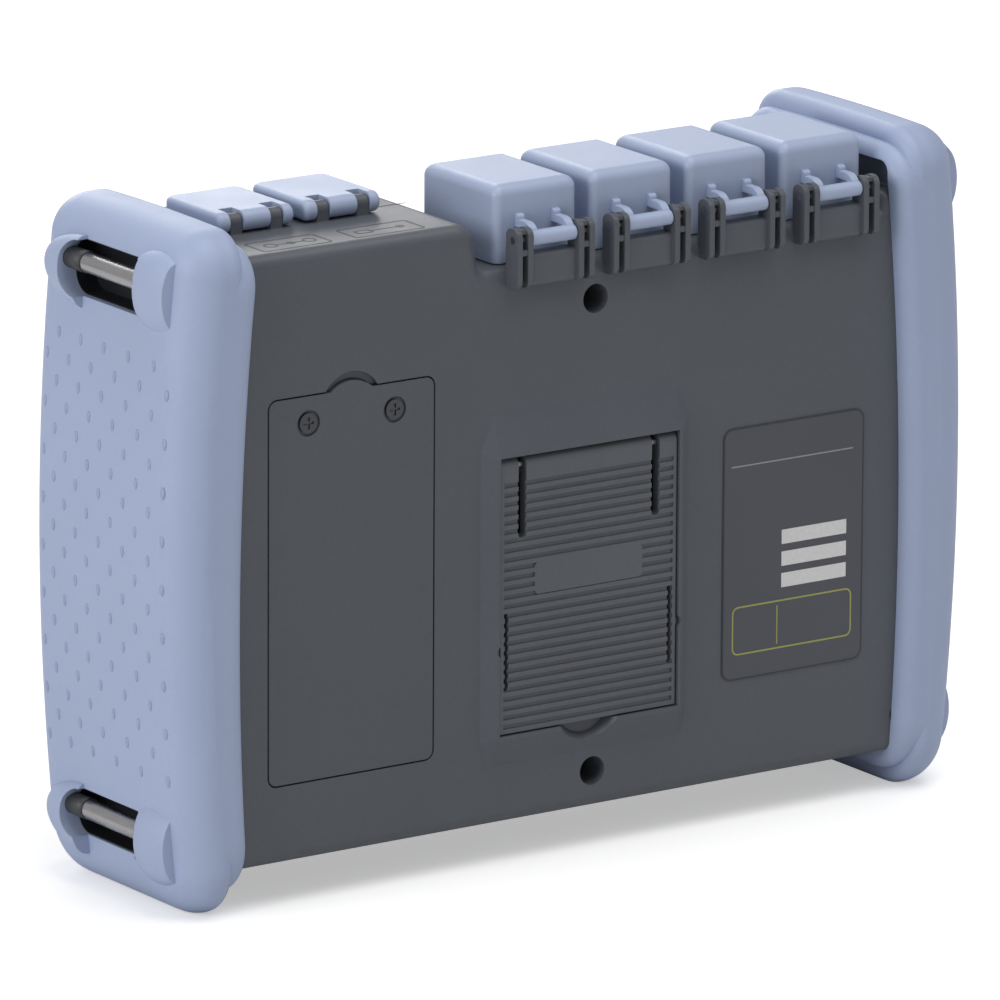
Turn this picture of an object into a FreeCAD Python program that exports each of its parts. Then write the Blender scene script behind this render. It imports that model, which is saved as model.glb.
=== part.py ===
"""Handheld optical time domain reflectometer, as an assembly of separate pieces.

Frame: +Z up, the screen faces -Y, the back with its stand faces +Y, X runs along the
width. The origin is the centre of the base. Millimetres throughout.
"""
import FreeCAD, Part
import math
import os
from FreeCAD import Vector

# ---------------------------------------------------------------- driving sizes
WIDTH = 253.0                 # over both bumpers
DEPTH = 73.4                  # over both bumpers
HEIGHT = 181.8                # over both bumpers
NOMINAL_WIDTH = 253.0         # the places below are given for a unit of these sizes
NOMINAL_HEIGHT = 181.8
ACROSS = WIDTH / NOMINAL_WIDTH
UPWARD = HEIGHT / NOMINAL_HEIGHT

CASE_WALL = 2.5
CASE_BACK_INSET = 5.2         # back and front of the casing behind the bumpers' faces
CASE_FRONT_INSET = 4.2
CASE_BOTTOM_Z = 11.0
CASE_TOP_DROP = 8.4           # raised top, over the electrical sockets
CASE_END_INSET = 10.6         # ends hidden inside the bumpers
CASE_EDGE_R = 3.4
SPLIT_Y = 1.0                 # rear and front casing meet here

DECK_DROP = 13.0              # lowered deck that carries the optical ports
DECK_LEFT_X = 29.2 * ACROSS            # foot of the step up to the raised top
DECK_STEP_LEAN = 2.6
DECK_RIGHT_X = -98.6 * ACROSS
DECK_STOP_RISE = 5.0          # low shoulder beside the last port
DECK_STOP_WIDTH = 5.6
SHOULDER_R = 5.0
DECK_FOOT_R = 1.8
DECK_STOP_R = 0.8

FIT_GAP = 0.3                 # parts that move past each other
PANEL_GAP = 0.45              # visible line round a door or a key
PIN_GAP = 0.08                # radial, pin in a turning bore
SEAT_GAP = 0.02               # radial, pin in a fixed bore
ROOT = 0.5                    # how far a rib or boss runs into the wall that carries it
OVER = 1.0                    # how far a cutting tool runs past the face it opens

# bumpers
BUMPER_INNER_INSET = 20.9     # inner edge at half height, in from the outer face
BUMPER_BOW_R = 900.0          # of the inner edge, whose deepest point lies at BUMPER_BOW_Z
BUMPER_BOW_Z = 73.4 * UPWARD
BUMPER_CORNER_R = (15.0, 11.5)     # foot and top
BUMPER_OUTER_R = 10.5
BUMPER_LIP_R = 4.4
BUMPER_SKIRT = 5.0            # width and drop of the lower skirt along the inner edge
BUMPER_SKIRT_DROP = 4.3
BUMPER_SHOULDER_R = 3.5       # where the body falls to its skirt
BUMPER_CROWN_R = 900.0        # top and bottom, along the depth
BUMPER_FACE_CROWN_R = 760.0   # outer face, along the height
BASE_FLAT_HALF = 20.0         # flat under each bumper's crown
BASE_CUT = 0.4                # the rounded foot is cut back this far to the pad it stands on

# strap anchors
ANCHOR_LOW_Z = 21.1
ANCHOR_TOP_DROP = 14.7
ANCHOR_SLOT_Y = (-18.2, 14.6)
ANCHOR_SLOT_BELOW = (7.4, 9.2)     # the slots' edges below and above the pins, foot and top
ANCHOR_SLOT_ABOVE = (5.2, 5.6)
ANCHOR_SLOT_R = 5.6
ANCHOR_PIN_R = 2.7
ANCHOR_PIN_INSET = 3.3        # pin axis in from the bumpers' widest point
ANCHOR_PIN_SEAT = 3.0         # length of the pin held in each ear
REAR_EAR_OUT = 0.3            # an ear's crown past the bumpers' widest point
REAR_EAR_Y = 21.0
REAR_EAR_END_Y = 28.3         # flat end of the dome
REAR_EAR_DROP = 1.9           # ears' centres below the pin
REAR_EAR_HALF = (5.4, 12.6, 10.8)   # along the width, the depth and the height
FRONT_EAR_OUT = 1.6
FRONT_EAR_Y = -10.6
FRONT_EAR_END_Y = -12.3
FRONT_EAR_DROP = 2.9
FRONT_EAR_HALF = (5.0, 19.5, 9.6)

# stand
STAND_X = -3.6 * ACROSS
STAND_WIDTH = 55.8
STAND_BOTTOM_Z = 36.0 * UPWARD
STAND_AXIS_INSET = 0.5        # hinge axis inside the casing's back
STAND_AXIS_Z = 107.6 * UPWARD
STAND_BARREL_R = 2.6
STAND_THICKNESS = 3.0
STAND_PIN_R = 1.1
STAND_PIN_SEAT = 2.6          # length of the pin held in each side wall
STAND_SIDE_GAP = 0.5
STAND_BACKING = 2.0           # wall behind the pocket
STAND_RIB_PITCH = 2.5
STAND_RIB_DEPTH = 0.5
STAND_RIB_MARGIN = 1.0
STAND_SLOT_X = 21.2
STAND_SLOT_WIDTH = 2.5
STAND_SLOT_LENGTH = 19.4      # below the hinge axis
FLEXURE_X = 26.0
FLEXURE_WIDTH = 1.1
FLEXURE_LENGTH = 21.2
FLEXURE_RISE = 11.4           # above the free end
DETENT_RISE = 22.6            # above the free end
DETENT_R = 1.6
DETENT_OUT = 0.9
PLATE_WIDTH = 34.2
PLATE_HEIGHT = 8.7
PLATE_RISE = 40.8             # above the free end
PLINTH_RISE = 2.8
PLINTH_BASE_HALF = 33.0
PLINTH_BASE_MARGIN = (8.9, 13.9)   # below the free end, above the hinge axis
PLINTH_TOP_HALF = 29.3
PLINTH_TOP_MARGIN = (1.6, 3.8)
PLINTH_CORNER = (4.4, 10.2)   # cut corner of the base outline, across and up
PLINTH_FOOT_CORNER = (2.6, 7.8)
PLINTH_TOP_CORNER = 0.9
FINGER_SCOOP_R = 10.4
FINGER_SCOOP_DROP = 5.6
FINGER_SCOOP_DEPTH = 3.6
FINGER_SCOOP_TAPER = 2.2

# battery door and bay
DOOR_X = 69.7 * ACROSS
DOOR_WIDTH = 51.0
DOOR_Z = (32.4 * UPWARD, 134.8 * UPWARD)
DOOR_THICKNESS = 1.8
DOOR_CORNER_R = 2.4
DOOR_LEDGE = 2.2
DOOR_TAB_HALF = 6.5
DOOR_TAB_RISE = 2.4
DOOR_SCOOP_HALF = 8.3
DOOR_SCOOP_RISE = 4.9
DOOR_SCOOP_DEPTH = 1.2
DOOR_SCREW_X = 13.35
DOOR_SCREW_DROP = 7.1
DOOR_SCREW_WELL_R = 3.5
DOOR_SCREW_FLOOR = 1.1        # door left under a screw head
DOOR_BOSS_R = 3.2
DOOR_BOSS_LENGTH = 14.0
BAY_DEPTH = 28.1
BAY_WALL = 1.6
BAY_CORNER_R = 1.2
BATTERY_CLEARANCE = 0.6
BATTERY_CORNER_R = 3.0
CONTACT_SIZE = (18.0, 9.0, 4.7)
CONTACT_BLADE = (1.6, 4.0)
CONTACT_PITCH = 4.0

# casing screws
CASE_SCREW_X = -6.6 * ACROSS
CASE_SCREW_LOW_Z = 21.1
CASE_SCREW_TOP_DROP = 11.6    # below the deck
CORNER_SCREW_INSET = 8.3
CASE_WELL_R = 3.9
CASE_WELL_FLOOR = 7.0         # wall left under a screw head, behind the split
CASE_BOSS_WALL = 1.2
FRONT_BOSS_R = 4.2
SCREW_HEAD_R = 2.7
SCREW_SHANK_R = 1.5
SCREW_HEAD_H = 2.0
SCREW_GRIP = 10.0             # thread length in the front casing
SCREW_CROSS = (1.6, 0.35, 0.9)     # half length, half width and depth of the recess

# optical ports
PORT_COUNT = 4
PORT_X0 = 9.3 * ACROSS
PORT_PITCH = 30.5 * ACROSS
PORT_Y = 11.0
CAP_WIDTH = 26.0
CAP_Y = (-7.0, 27.2)
CAP_HEIGHT = 20.6
CAP_WALL = 1.8
CAP_TOP_R = 3.0
CAP_SIDE_R = 2.2
HINGE_OUT = 2.5               # hinge axis behind the casing's back
HINGE_RISE = 7.9              # hinge axis above the deck
HINGE_BARREL_R = 2.0
HINGE_PIN_R = 1.0
ARM_X = 5.7
ARM_WIDTH = 2.2
ARM_THICK = 2.0
ARM_BEND_R = 2.8
ARM_PAD = (1.3, 2.4)          # pad at the cap's wall, out and up
BRACKET_INNER_X = 7.2
BRACKET_RIB = 1.6
BRACKET_SLOT = 1.8
BRACKET_OUT = 4.9
BRACKET_DROP = 5.0            # foot below the deck
BRACKET_RISE = 11.0
BRACKET_TOP_R = 2.2
BRACKET_BAR_RISE = 3.9        # cross bar between the two ribs, above the deck
BRACKET_BAR_HEIGHT = 1.5
BRACKET_STEP = 0.3            # bars stand back from the ribs' faces
BLOCK_OUT = 3.7
BLOCK_RISE = 4.0
BLOCK_R = 1.6

ADAPTER_BARREL_R = 4.0
ADAPTER_RISE = 13.0
ADAPTER_TAIL = 16.0
ADAPTER_FLANGE = (17.0, 13.0, 1.6)
ADAPTER_MOUTH_R = 3.0
ADAPTER_MOUTH_FLOOR = 4.0     # above the deck
ADAPTER_BORE_GAP = 0.1
FLANGE_R = 2.0
FERRULE_R = 1.25
SLEEVE_WALL = 0.4
FIBRE_BORE_R = 1.0            # below the sleeve
SLEEVE_LENGTH = 11.4
SLEEVE_RISE = 9.8
FLANGE_SCREW_X = 6.4
FLANGE_SCREW_R = 0.9
FLANGE_HEAD = (1.7, 1.1)      # radius and height

# electrical sockets on the raised top
SOCKET_XS = (83.0 * ACROSS, 56.2 * ACROSS)
SOCKET_Y = -8.0
LOW_CAP_WIDTH = 23.4
LOW_CAP_FRONT_Y = -19.5
LOW_CAP_THICK = 5.6
LOW_CAP_AXIS_Y = 4.9
LOW_CAP_EDGE_R = 1.5
LOW_CAP_CORNER_R = 3.0
LOW_CAP_RECESS = 2.4
LOW_CAP_RIM = 2.0
POST_X = 6.2
POST_WIDTH = 3.6
POST_R = 2.2
LOW_PIN_R = 0.8
LOW_PIN_INSET = 1.4
SOCKET_SINK = 0.3             # socket mouths below the top
JACK_SIZE = 10.4
JACK_LENGTH = 11.0
JACK_COLLAR_R = 4.5
JACK_BORE_R = 2.75
JACK_BORE_DEPTH = 10.0
JACK_PIN_R = 1.0
JACK_PIN_SINK = 2.0
USB_SIZE = (12.2, 4.7)
USB_WALL = 0.6
USB_DEPTH = 12.0
USB_TONGUE = 1.6
USB_TONGUE_SINK = 3.0
USB_FLANGE = 3.0
SOCKET_CLEARANCE = 0.1

# front
GLASS_X = (-99.0 * ACROSS, 61.0 * ACROSS)
GLASS_Z = (36.4 * UPWARD, 136.4 * UPWARD)
GLASS_THICK = 1.5
GLASS_CORNER_R = 3.0
WINDOW_MARGIN = 4.0
PANEL_THICK = 5.6
PANEL_MARGIN = 2.0
KEY_X = 82.0 * ACROSS
KEY_TRAVEL = 0.8
KEY_PROUD = 1.2
KEY_EDGE_R = 0.5
KEY_FLANGE = 0.6
KEY_FLANGE_THICK = 0.9
KEY_PLUNGER_R = 1.5
KEY_PLUNGER = 0.3
NAV_Z = 85.4 * UPWARD
NAV_R = (7.6, 15.0)
NAV_SETBACK = 1.2
ENTER_R = 6.4
POWER_KEY_RISE = 44.0         # key places above and below the navigation ring
POWER_KEY_R = 5.2
START_KEY_RISE = 25.0
START_KEY = (26.0, 9.0)
SMALL_KEY_DROP = 25.0
SMALL_KEY = (11.6, 8.0)
SMALL_KEY_X = 7.3
KEY_CORNER_R = 2.4
LAMP_PITCH = 7.0
LAMP_COUNT = 3
LAMP_RISE = 57.0
LAMP_R = 1.3
LAMP_PROUD = 0.2

# inside
BOARD_HALF_WIDTH = 96.0 * ACROSS
BOARD_Z = (28.4 * UPWARD, 144.4 * UPWARD)
BOARD_THICK = 1.6
BOARD_BACK_Y = -10.0
STANDOFF_R = 2.6
STANDOFF_INSET = 5.0
STANDOFF_RISE = 3.5
STANDOFF_MID_X = 12.0 * ACROSS
PANEL_POST_R = 3.4
KEY_BOARD_THICK = 1.6
KEY_BOARD_HALF = 17.0
KEY_BOARD_MARGIN = 18.0       # below the lowest keys
KEY_POST_X = 13.0
KEY_POST_R = 2.2
DOME_HEIGHT = 0.9
DOME_R = 2.4
MODULE_X = (-92.0 * ACROSS, -8.0 * ACROSS)
MODULE_Z = (55.4 * UPWARD, 131.4 * UPWARD)
MODULE_THICK = 20.0
MODULE_CORNER_R = 3.0
GASKET_WIDTH = 1.4
LABEL_X = (-93.7 * ACROSS, -48.0 * ACROSS)
LABEL_Z = (38.8 * UPWARD, 107.6 * UPWARD)
LABEL_THICK = 0.3
LABEL_CORNER_R = 3.0

TINY = 0.05                   # tolerance when picking edges
ALMOST_HALF = 0.49            # end radius of a slot, as a share of its width
X_AXIS = Vector(1, 0, 0)
Y_AXIS = Vector(0, 1, 0)
Z_AXIS = Vector(0, 0, 1)

# places that follow from the sizes above
BUMPER_FACE_X = WIDTH / 2.0
BUMPER_BACK_Y = DEPTH / 2.0
MID_Z = HEIGHT / 2.0
CASE_BACK_Y = BUMPER_BACK_Y - CASE_BACK_INSET
CASE_FRONT_Y = CASE_FRONT_INSET - BUMPER_BACK_Y
CASE_INNER_BACK_Y = CASE_BACK_Y - CASE_WALL
CASE_INNER_FRONT_Y = CASE_FRONT_Y + CASE_WALL
CASE_HALF_WIDTH = BUMPER_FACE_X - CASE_END_INSET
CASE_TOP_Z = HEIGHT - CASE_TOP_DROP
DECK_Z = CASE_TOP_Z - DECK_DROP
BUMPER_INNER_X = BUMPER_FACE_X - BUMPER_INNER_INSET
BOW_R = BUMPER_BOW_R * UPWARD ** 2          # both bows keep their depth at another height
FACE_CROWN_R = BUMPER_FACE_CROWN_R * UPWARD ** 2
BUMPER_BOW_X = BUMPER_INNER_X - BOW_R
BASE_CROWN_DROP = BASE_FLAT_HALF ** 2 / (2.0 * BUMPER_CROWN_R)
ANCHOR_ZS = (ANCHOR_LOW_Z, HEIGHT - ANCHOR_TOP_DROP)
ANCHOR_PIN_X = BUMPER_FACE_X - ANCHOR_PIN_INSET
STAND_AXIS_Y = CASE_BACK_Y - STAND_AXIS_INSET
STAND_FACE_Y = STAND_AXIS_Y + STAND_BARREL_R
STAND_FLOOR_Y = STAND_AXIS_Y - STAND_BARREL_R - FIT_GAP
STAND_POCKET_HALF = STAND_WIDTH / 2.0 + STAND_SIDE_GAP
STAND_POCKET_Z = (STAND_BOTTOM_Z - PANEL_GAP, STAND_AXIS_Z + STAND_BARREL_R + FIT_GAP)
PLINTH_Y = CASE_BACK_Y + PLINTH_RISE
DOOR_SEAT_Y = CASE_BACK_Y - DOOR_THICKNESS
DOOR_SCREW_Z = DOOR_Z[1] - DOOR_SCREW_DROP
DOOR_SCREW_XS = (DOOR_X - DOOR_SCREW_X, DOOR_X + DOOR_SCREW_X)
BAY_FLOOR_Y = CASE_BACK_Y - BAY_DEPTH
CASE_WELL_FLOOR_Y = SPLIT_Y + CASE_WELL_FLOOR
CORNER_SCREW_X = CASE_HALF_WIDTH - CORNER_SCREW_INSET
CASE_SCREW_ZS = (CASE_SCREW_LOW_Z, DECK_Z - CASE_SCREW_TOP_DROP)
PORT_XS = [PORT_X0 - PORT_PITCH * i for i in range(PORT_COUNT)]
CAP_FOOT_Z = DECK_Z + FIT_GAP
CAP_TOP_Z = CAP_FOOT_Z + CAP_HEIGHT
HINGE_Y = CASE_BACK_Y + HINGE_OUT
HINGE_Z = DECK_Z + HINGE_RISE
BRACKET_OUTER_X = BRACKET_INNER_X + 2.0 * BRACKET_RIB + BRACKET_SLOT
BRACKET_OUT_Y = CASE_BACK_Y + BRACKET_OUT
BRACKET_FOOT_Z = DECK_Z - BRACKET_DROP
BRACKET_TOP_Z = DECK_Z + BRACKET_RISE
SLEEVE_TOP_Z = DECK_Z + SLEEVE_RISE
SLEEVE_LOW_Z = SLEEVE_TOP_Z - SLEEVE_LENGTH
LOW_CAP_FOOT_Z = CASE_TOP_Z + FIT_GAP
LOW_CAP_TOP_Z = LOW_CAP_FOOT_Z + LOW_CAP_THICK
LOW_CAP_AXIS_Z = LOW_CAP_FOOT_Z + LOW_CAP_THICK / 2.0
SOCKET_SEAT_Z = CASE_TOP_Z - CASE_WALL
PANEL_BACK_Y = CASE_INNER_FRONT_Y + PANEL_THICK
BOARD_FRONT_Y = BOARD_BACK_Y - BOARD_THICK
KEY_FLANGE_Y = (CASE_INNER_FRONT_Y + FIT_GAP, CASE_INNER_FRONT_Y + FIT_GAP + KEY_FLANGE_THICK)
DOME_TOP_Y = KEY_FLANGE_Y[1] + KEY_PLUNGER + KEY_TRAVEL + FIT_GAP
KEY_BOARD_Y = (DOME_TOP_Y + DOME_HEIGHT, DOME_TOP_Y + DOME_HEIGHT + KEY_BOARD_THICK)
LAMP_Z = NAV_Z + LAMP_RISE
KEY_BOARD_Z = (NAV_Z - SMALL_KEY_DROP - KEY_BOARD_MARGIN, LAMP_Z + 2.0 * LAMP_R)


# ---------------------------------------------------------------- helpers
def box(x, y, z):
    """A box from three (low, high) pairs."""
    low = Vector(min(x), min(y), min(z))
    size = Vector(max(x), max(y), max(z)) - low
    return Part.makeBox(size.x, size.y, size.z, low)


def about(centre, width):
    """The (low, high) pair of a width about a centre."""
    return (centre - width / 2.0, centre + width / 2.0)


def cylinder(radius, start, end):
    start = Vector(*start)
    along = Vector(*end) - start
    return Part.makeCylinder(radius, along.Length, start, along)


def along_x(radius, span, y, z):
    return cylinder(radius, (span[0], y, z), (span[1], y, z))


def along_y(radius, x, span, z):
    return cylinder(radius, (x, span[0], z), (x, span[1], z))


def along_z(radius, x, y, span):
    return cylinder(radius, (x, y, span[0]), (x, y, span[1]))


def lines_along(shape, axis):
    """The straight edges of shape that run along the axis."""
    found = []
    for edge in shape.Edges:
        if not isinstance(edge.Curve, (Part.Line, Part.LineSegment)):
            continue
        ends = [v.Point for v in edge.Vertexes]
        if len(ends) == 2 and (ends[1] - ends[0]).cross(axis).Length < TINY:
            found.append(edge)
    return found


def round_along(shape, radius, axis, keep=lambda centre: True):
    edges = [e for e in lines_along(shape, axis) if keep(e.CenterOfMass)]
    return shape.makeFillet(radius, edges)


def rounded_box(x, y, z, radius, axis):
    return round_along(box(x, y, z), radius, axis)


def fuse(shapes):
    result = shapes[0]
    if len(shapes) > 1:
        result = result.fuse(shapes[1:])
    return result.removeSplitter()


def cut(shape, tools):
    return shape.cut(Part.makeCompound(tools))


def prism(points, along):
    """Extrudes a closed polygon of 3-D points."""
    face = Part.Face(Part.makePolygon(points + points[:1]))
    return face.extrude(along)


def mirrored_x(shape):
    return shape.mirror(Vector(0, 0, 0), Vector(1, 0, 0))


def export(name, shape):
    shape.exportStep("parts/" + name + ".step")


# ---------------------------------------------------------------- casing
def case_block():
    """The casing's plain outer form, which the bumpers are hollowed to fit."""
    block = box((-CASE_HALF_WIDTH, CASE_HALF_WIDTH), (CASE_FRONT_Y, CASE_BACK_Y),
                (CASE_BOTTOM_Z, CASE_TOP_Z))
    return round_along(block, CASE_EDGE_R, X_AXIS)


def rounded_outline(corners, y):
    """A closed XZ outline at y; each corner is (x, z, radius)."""
    edges = []
    ends = []
    count = len(corners)
    for i in range(count):
        x, z, radius = corners[i]
        here = Vector(x, y, z)
        before = Vector(corners[i - 1][0], y, corners[i - 1][1])
        after = Vector(corners[(i + 1) % count][0], y, corners[(i + 1) % count][1])
        if radius == 0:
            ends.append((here, None, here))
            continue
        u = (before - here).normalize()
        v = (after - here).normalize()
        half = u.getAngle(v) / 2.0
        setback = radius / math.tan(half)
        bisector = (u + v).normalize()
        middle = here + bisector * (radius / math.sin(half) - radius)
        ends.append((here + u * setback, middle, here + v * setback))
    for i in range(count):
        start, middle, end = ends[i]
        if middle is not None:
            edges.append(Part.Arc(start, middle, end).toShape())
        edges.append(Part.LineSegment(end, ends[(i + 1) % count][0]).toShape())
    return Part.Wire(edges)


def case_outer():
    """The casing's outer form with the lowered port deck, before it is split."""
    half = CASE_HALF_WIDTH
    stop_z = DECK_Z + DECK_STOP_RISE
    end_x = DECK_RIGHT_X - DECK_STOP_WIDTH
    corners = [(-half, CASE_BOTTOM_Z, 0), (half, CASE_BOTTOM_Z, 0), (half, CASE_TOP_Z, 0),
               (DECK_LEFT_X + DECK_STEP_LEAN, CASE_TOP_Z, SHOULDER_R),
               (DECK_LEFT_X, DECK_Z, DECK_FOOT_R), (DECK_RIGHT_X, DECK_Z, DECK_STOP_R),
               (DECK_RIGHT_X - DECK_STOP_R, stop_z, DECK_STOP_R), (end_x, stop_z, DECK_STOP_R),
               (end_x, CASE_TOP_Z, 0), (-half, CASE_TOP_Z, 0)]
    face = Part.Face(rounded_outline(corners, CASE_FRONT_Y))
    body = face.extrude(Vector(0, CASE_BACK_Y - CASE_FRONT_Y, 0))
    long_edges = []
    for edge in body.Edges:
        b = edge.BoundBox
        if b.YLength > TINY or abs(edge.CenterOfMass.x) > half - TINY:
            continue
        height = edge.CenterOfMass.z
        at_port_stop = b.ZMin > DECK_Z - TINY and b.XMax < 0 and height < CASE_TOP_Z - TINY
        if height < DECK_Z - TINY or not at_port_stop:
            long_edges.append(edge)
    return body.makeFillet(CASE_EDGE_R, long_edges)


def case_cavity(inset):
    """The room inside the casing, smaller by the inset all round."""
    wall = CASE_WALL + inset
    half = CASE_HALF_WIDTH - wall
    y = (CASE_FRONT_Y + wall, CASE_BACK_Y - wall)
    low = box((-half, half), y, (CASE_BOTTOM_Z + wall, DECK_Z - wall))
    high_x = DECK_LEFT_X + DECK_STEP_LEAN + wall
    high = box((high_x, half), y, (DECK_Z - wall - CASE_WALL, CASE_TOP_Z - wall))
    return fuse([low, high])


def plinth():
    """Raised frame round the stand, with cut corners and sloping sides."""
    def outline(half, z, corner, foot, y):
        cx, cz = corner
        fx, fz = foot
        points = [(half, z[0] + fz), (half, z[1] - cz), (half - cx, z[1]), (cx - half, z[1]),
                  (-half, z[1] - cz), (-half, z[0] + fz), (fx - half, z[0]), (half - fx, z[0])]
        return Part.makePolygon([Vector(STAND_X + x, y, zz) for x, zz in points + points[:1]])

    base_z = (STAND_BOTTOM_Z - PLINTH_BASE_MARGIN[0], STAND_AXIS_Z + PLINTH_BASE_MARGIN[1])
    top_z = (STAND_BOTTOM_Z - PLINTH_TOP_MARGIN[0], STAND_AXIS_Z + PLINTH_TOP_MARGIN[1])
    grow = ROOT / PLINTH_RISE
    half = PLINTH_BASE_HALF + (PLINTH_BASE_HALF - PLINTH_TOP_HALF) * grow
    z = (base_z[0] - (top_z[0] - base_z[0]) * grow, base_z[1] + (base_z[1] - top_z[1]) * grow)
    corner = (PLINTH_TOP_CORNER, PLINTH_TOP_CORNER)
    base = outline(half, z, PLINTH_CORNER, PLINTH_FOOT_CORNER, CASE_BACK_Y - ROOT)
    top = outline(PLINTH_TOP_HALF, top_z, corner, corner, PLINTH_Y)
    return Part.makeLoft([base, top], True, True)


def detent_x(side, radius):
    """Centre of a detent or of its dent, whose crown stands out of the flap's side."""
    return STAND_X + side * (STAND_WIDTH / 2.0 + DETENT_OUT - radius)


def stand_pocket():
    x = about(STAND_X, 2.0 * STAND_POCKET_HALF)
    y = (STAND_FLOOR_Y, PLINTH_Y + OVER)
    tools = [box(x, y, STAND_POCKET_Z)]
    for side in (-1, 1):
        tools.append(along_y(DETENT_R + FIT_GAP, detent_x(side, DETENT_R), y,
                             STAND_BOTTOM_Z + DETENT_RISE))
    return fuse(tools)


def stand_backing():
    """Thick wall behind and beside the stand's pocket, inside the casing."""
    x = about(STAND_X, 2.0 * (STAND_POCKET_HALF + STAND_PIN_SEAT + STAND_BACKING))
    z = (STAND_POCKET_Z[0] - STAND_BACKING, STAND_POCKET_Z[1] + STAND_BACKING)
    return box(x, (STAND_FLOOR_Y - STAND_BACKING, CASE_BACK_Y - ROOT), z)


def stand_scoop():
    """Finger notch under the free end of the stand."""
    bottom = STAND_POCKET_Z[0]
    start = Vector(STAND_X, PLINTH_Y, bottom - FINGER_SCOOP_DROP + FINGER_SCOOP_R)
    scoop = Part.makeCone(FINGER_SCOOP_R, FINGER_SCOOP_R - FINGER_SCOOP_TAPER,
                          FINGER_SCOOP_DEPTH, start, -Y_AXIS)
    half = 2.0 * FINGER_SCOOP_R
    below = box(about(STAND_X, 2.0 * half), (PLINTH_Y - FINGER_SCOOP_DEPTH, PLINTH_Y),
                (bottom - half, bottom + TINY))
    return scoop.common(below)


def door_outline(grow, y, tab_rise, tab_half):
    """The battery door's outline grown by a gap, with its finger tab on the top edge."""
    x = about(DOOR_X, DOOR_WIDTH + 2.0 * grow)
    plate = rounded_box(x, y, (DOOR_Z[0] - grow, DOOR_Z[1] + grow), DOOR_CORNER_R + grow, Y_AXIS)
    rise = tab_rise + grow
    radius = (tab_half ** 2 + rise ** 2) / (2.0 * rise)
    disc = along_y(radius, DOOR_X, y, DOOR_Z[1] + rise - radius)
    tab = disc.common(box(x, y, (DOOR_Z[1] - DOOR_CORNER_R, DOOR_Z[1] + 2.0 * rise)))
    return fuse([plate, tab])


def bay_walls():
    grow = BAY_WALL - DOOR_LEDGE
    return box(about(DOOR_X, DOOR_WIDTH + 2.0 * grow), (BAY_FLOOR_Y - BAY_WALL, CASE_BACK_Y - ROOT),
               (DOOR_Z[0] - grow, DOOR_Z[1] + grow))


def bay_space():
    return rounded_box(about(DOOR_X, DOOR_WIDTH - 2.0 * DOOR_LEDGE), (BAY_FLOOR_Y, CASE_BACK_Y),
                       (DOOR_Z[0] + DOOR_LEDGE, DOOR_Z[1] - DOOR_LEDGE), BAY_CORNER_R, Y_AXIS)


def door_bosses():
    """Posts that take the door's screws, joined to the bay's upper wall."""
    y = (DOOR_SEAT_Y - DOOR_BOSS_LENGTH, DOOR_SEAT_Y)
    posts = []
    for x in DOOR_SCREW_XS:
        posts.append(along_y(DOOR_BOSS_R, x, y, DOOR_SCREW_Z))
        posts.append(box(about(x, 2.0 * DOOR_BOSS_R), y, (DOOR_SCREW_Z, DOOR_Z[1] - DOOR_LEDGE + ROOT)))
    return posts


def screw_places():
    """Every casing screw, as x and z."""
    return [(x, z) for x in (-CORNER_SCREW_X, CASE_SCREW_X, CORNER_SCREW_X) for z in CASE_SCREW_ZS]


def hinge_bracket(x):
    """Two ladder-like ears and the block between them, for one port cap."""
    pieces = []
    root_y = CASE_BACK_Y - ROOT
    block = box(about(x, 2.0 * (BRACKET_INNER_X + ROOT)), (root_y, CASE_BACK_Y + BLOCK_OUT),
                (BRACKET_FOOT_Z, DECK_Z + BLOCK_RISE))
    pieces.append(round_along(block, BLOCK_R, X_AXIS, lambda c: c.y > CASE_BACK_Y))
    stand_off = CASE_BACK_Y - ROOT
    for side in (-1, 1):
        for inner in (BRACKET_INNER_X, BRACKET_OUTER_X - BRACKET_RIB):
            span = (x + side * inner, x + side * (inner + BRACKET_RIB))
            rib = box(span, (stand_off, BRACKET_OUT_Y), (BRACKET_FOOT_Z, BRACKET_TOP_Z))
            pieces.append(round_along(rib, BRACKET_TOP_R, X_AXIS,
                                      lambda c: c.z > DECK_Z or c.y > CASE_BACK_Y))
        span = (x + side * (BRACKET_INNER_X + ROOT), x + side * (BRACKET_OUTER_X - ROOT))
        web_y = (stand_off, CASE_BACK_Y + BRACKET_STEP)
        bar_z = DECK_Z + BRACKET_BAR_RISE
        pieces.append(box(span, web_y, (BRACKET_FOOT_Z + BRACKET_TOP_R, DECK_Z)))
        pieces.append(box(span, (CASE_BACK_Y, BRACKET_OUT_Y - BRACKET_STEP),
                          (bar_z, bar_z + BRACKET_BAR_HEIGHT)))
        pieces.append(box(span, (HINGE_Y - BRACKET_BAR_HEIGHT, HINGE_Y + BRACKET_BAR_HEIGHT),
                          (BRACKET_TOP_Z - BRACKET_BAR_HEIGHT, BRACKET_TOP_Z - BRACKET_STEP)))
    return pieces


def hinge_pin(x, gap, reach):
    return along_x(HINGE_PIN_R + gap, about(x, 2.0 * (BRACKET_OUTER_X + reach)), HINGE_Y, HINGE_Z)


def socket_posts(x):
    """Two rounded posts that carry one low cap."""
    posts = []
    for side in (-1, 1):
        span = about(x + side * POST_X, POST_WIDTH)
        posts.append(along_x(POST_R, span, LOW_CAP_AXIS_Y, LOW_CAP_AXIS_Z))
        posts.append(box(span, about(LOW_CAP_AXIS_Y, 2.0 * POST_R), (CASE_TOP_Z - ROOT, LOW_CAP_AXIS_Z)))
    return posts


def low_pin(x, gap):
    return along_x(LOW_PIN_R + gap, about(x, LOW_CAP_WIDTH - 2.0 * LOW_PIN_INSET),
                   LOW_CAP_AXIS_Y, LOW_CAP_AXIS_Z)


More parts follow.
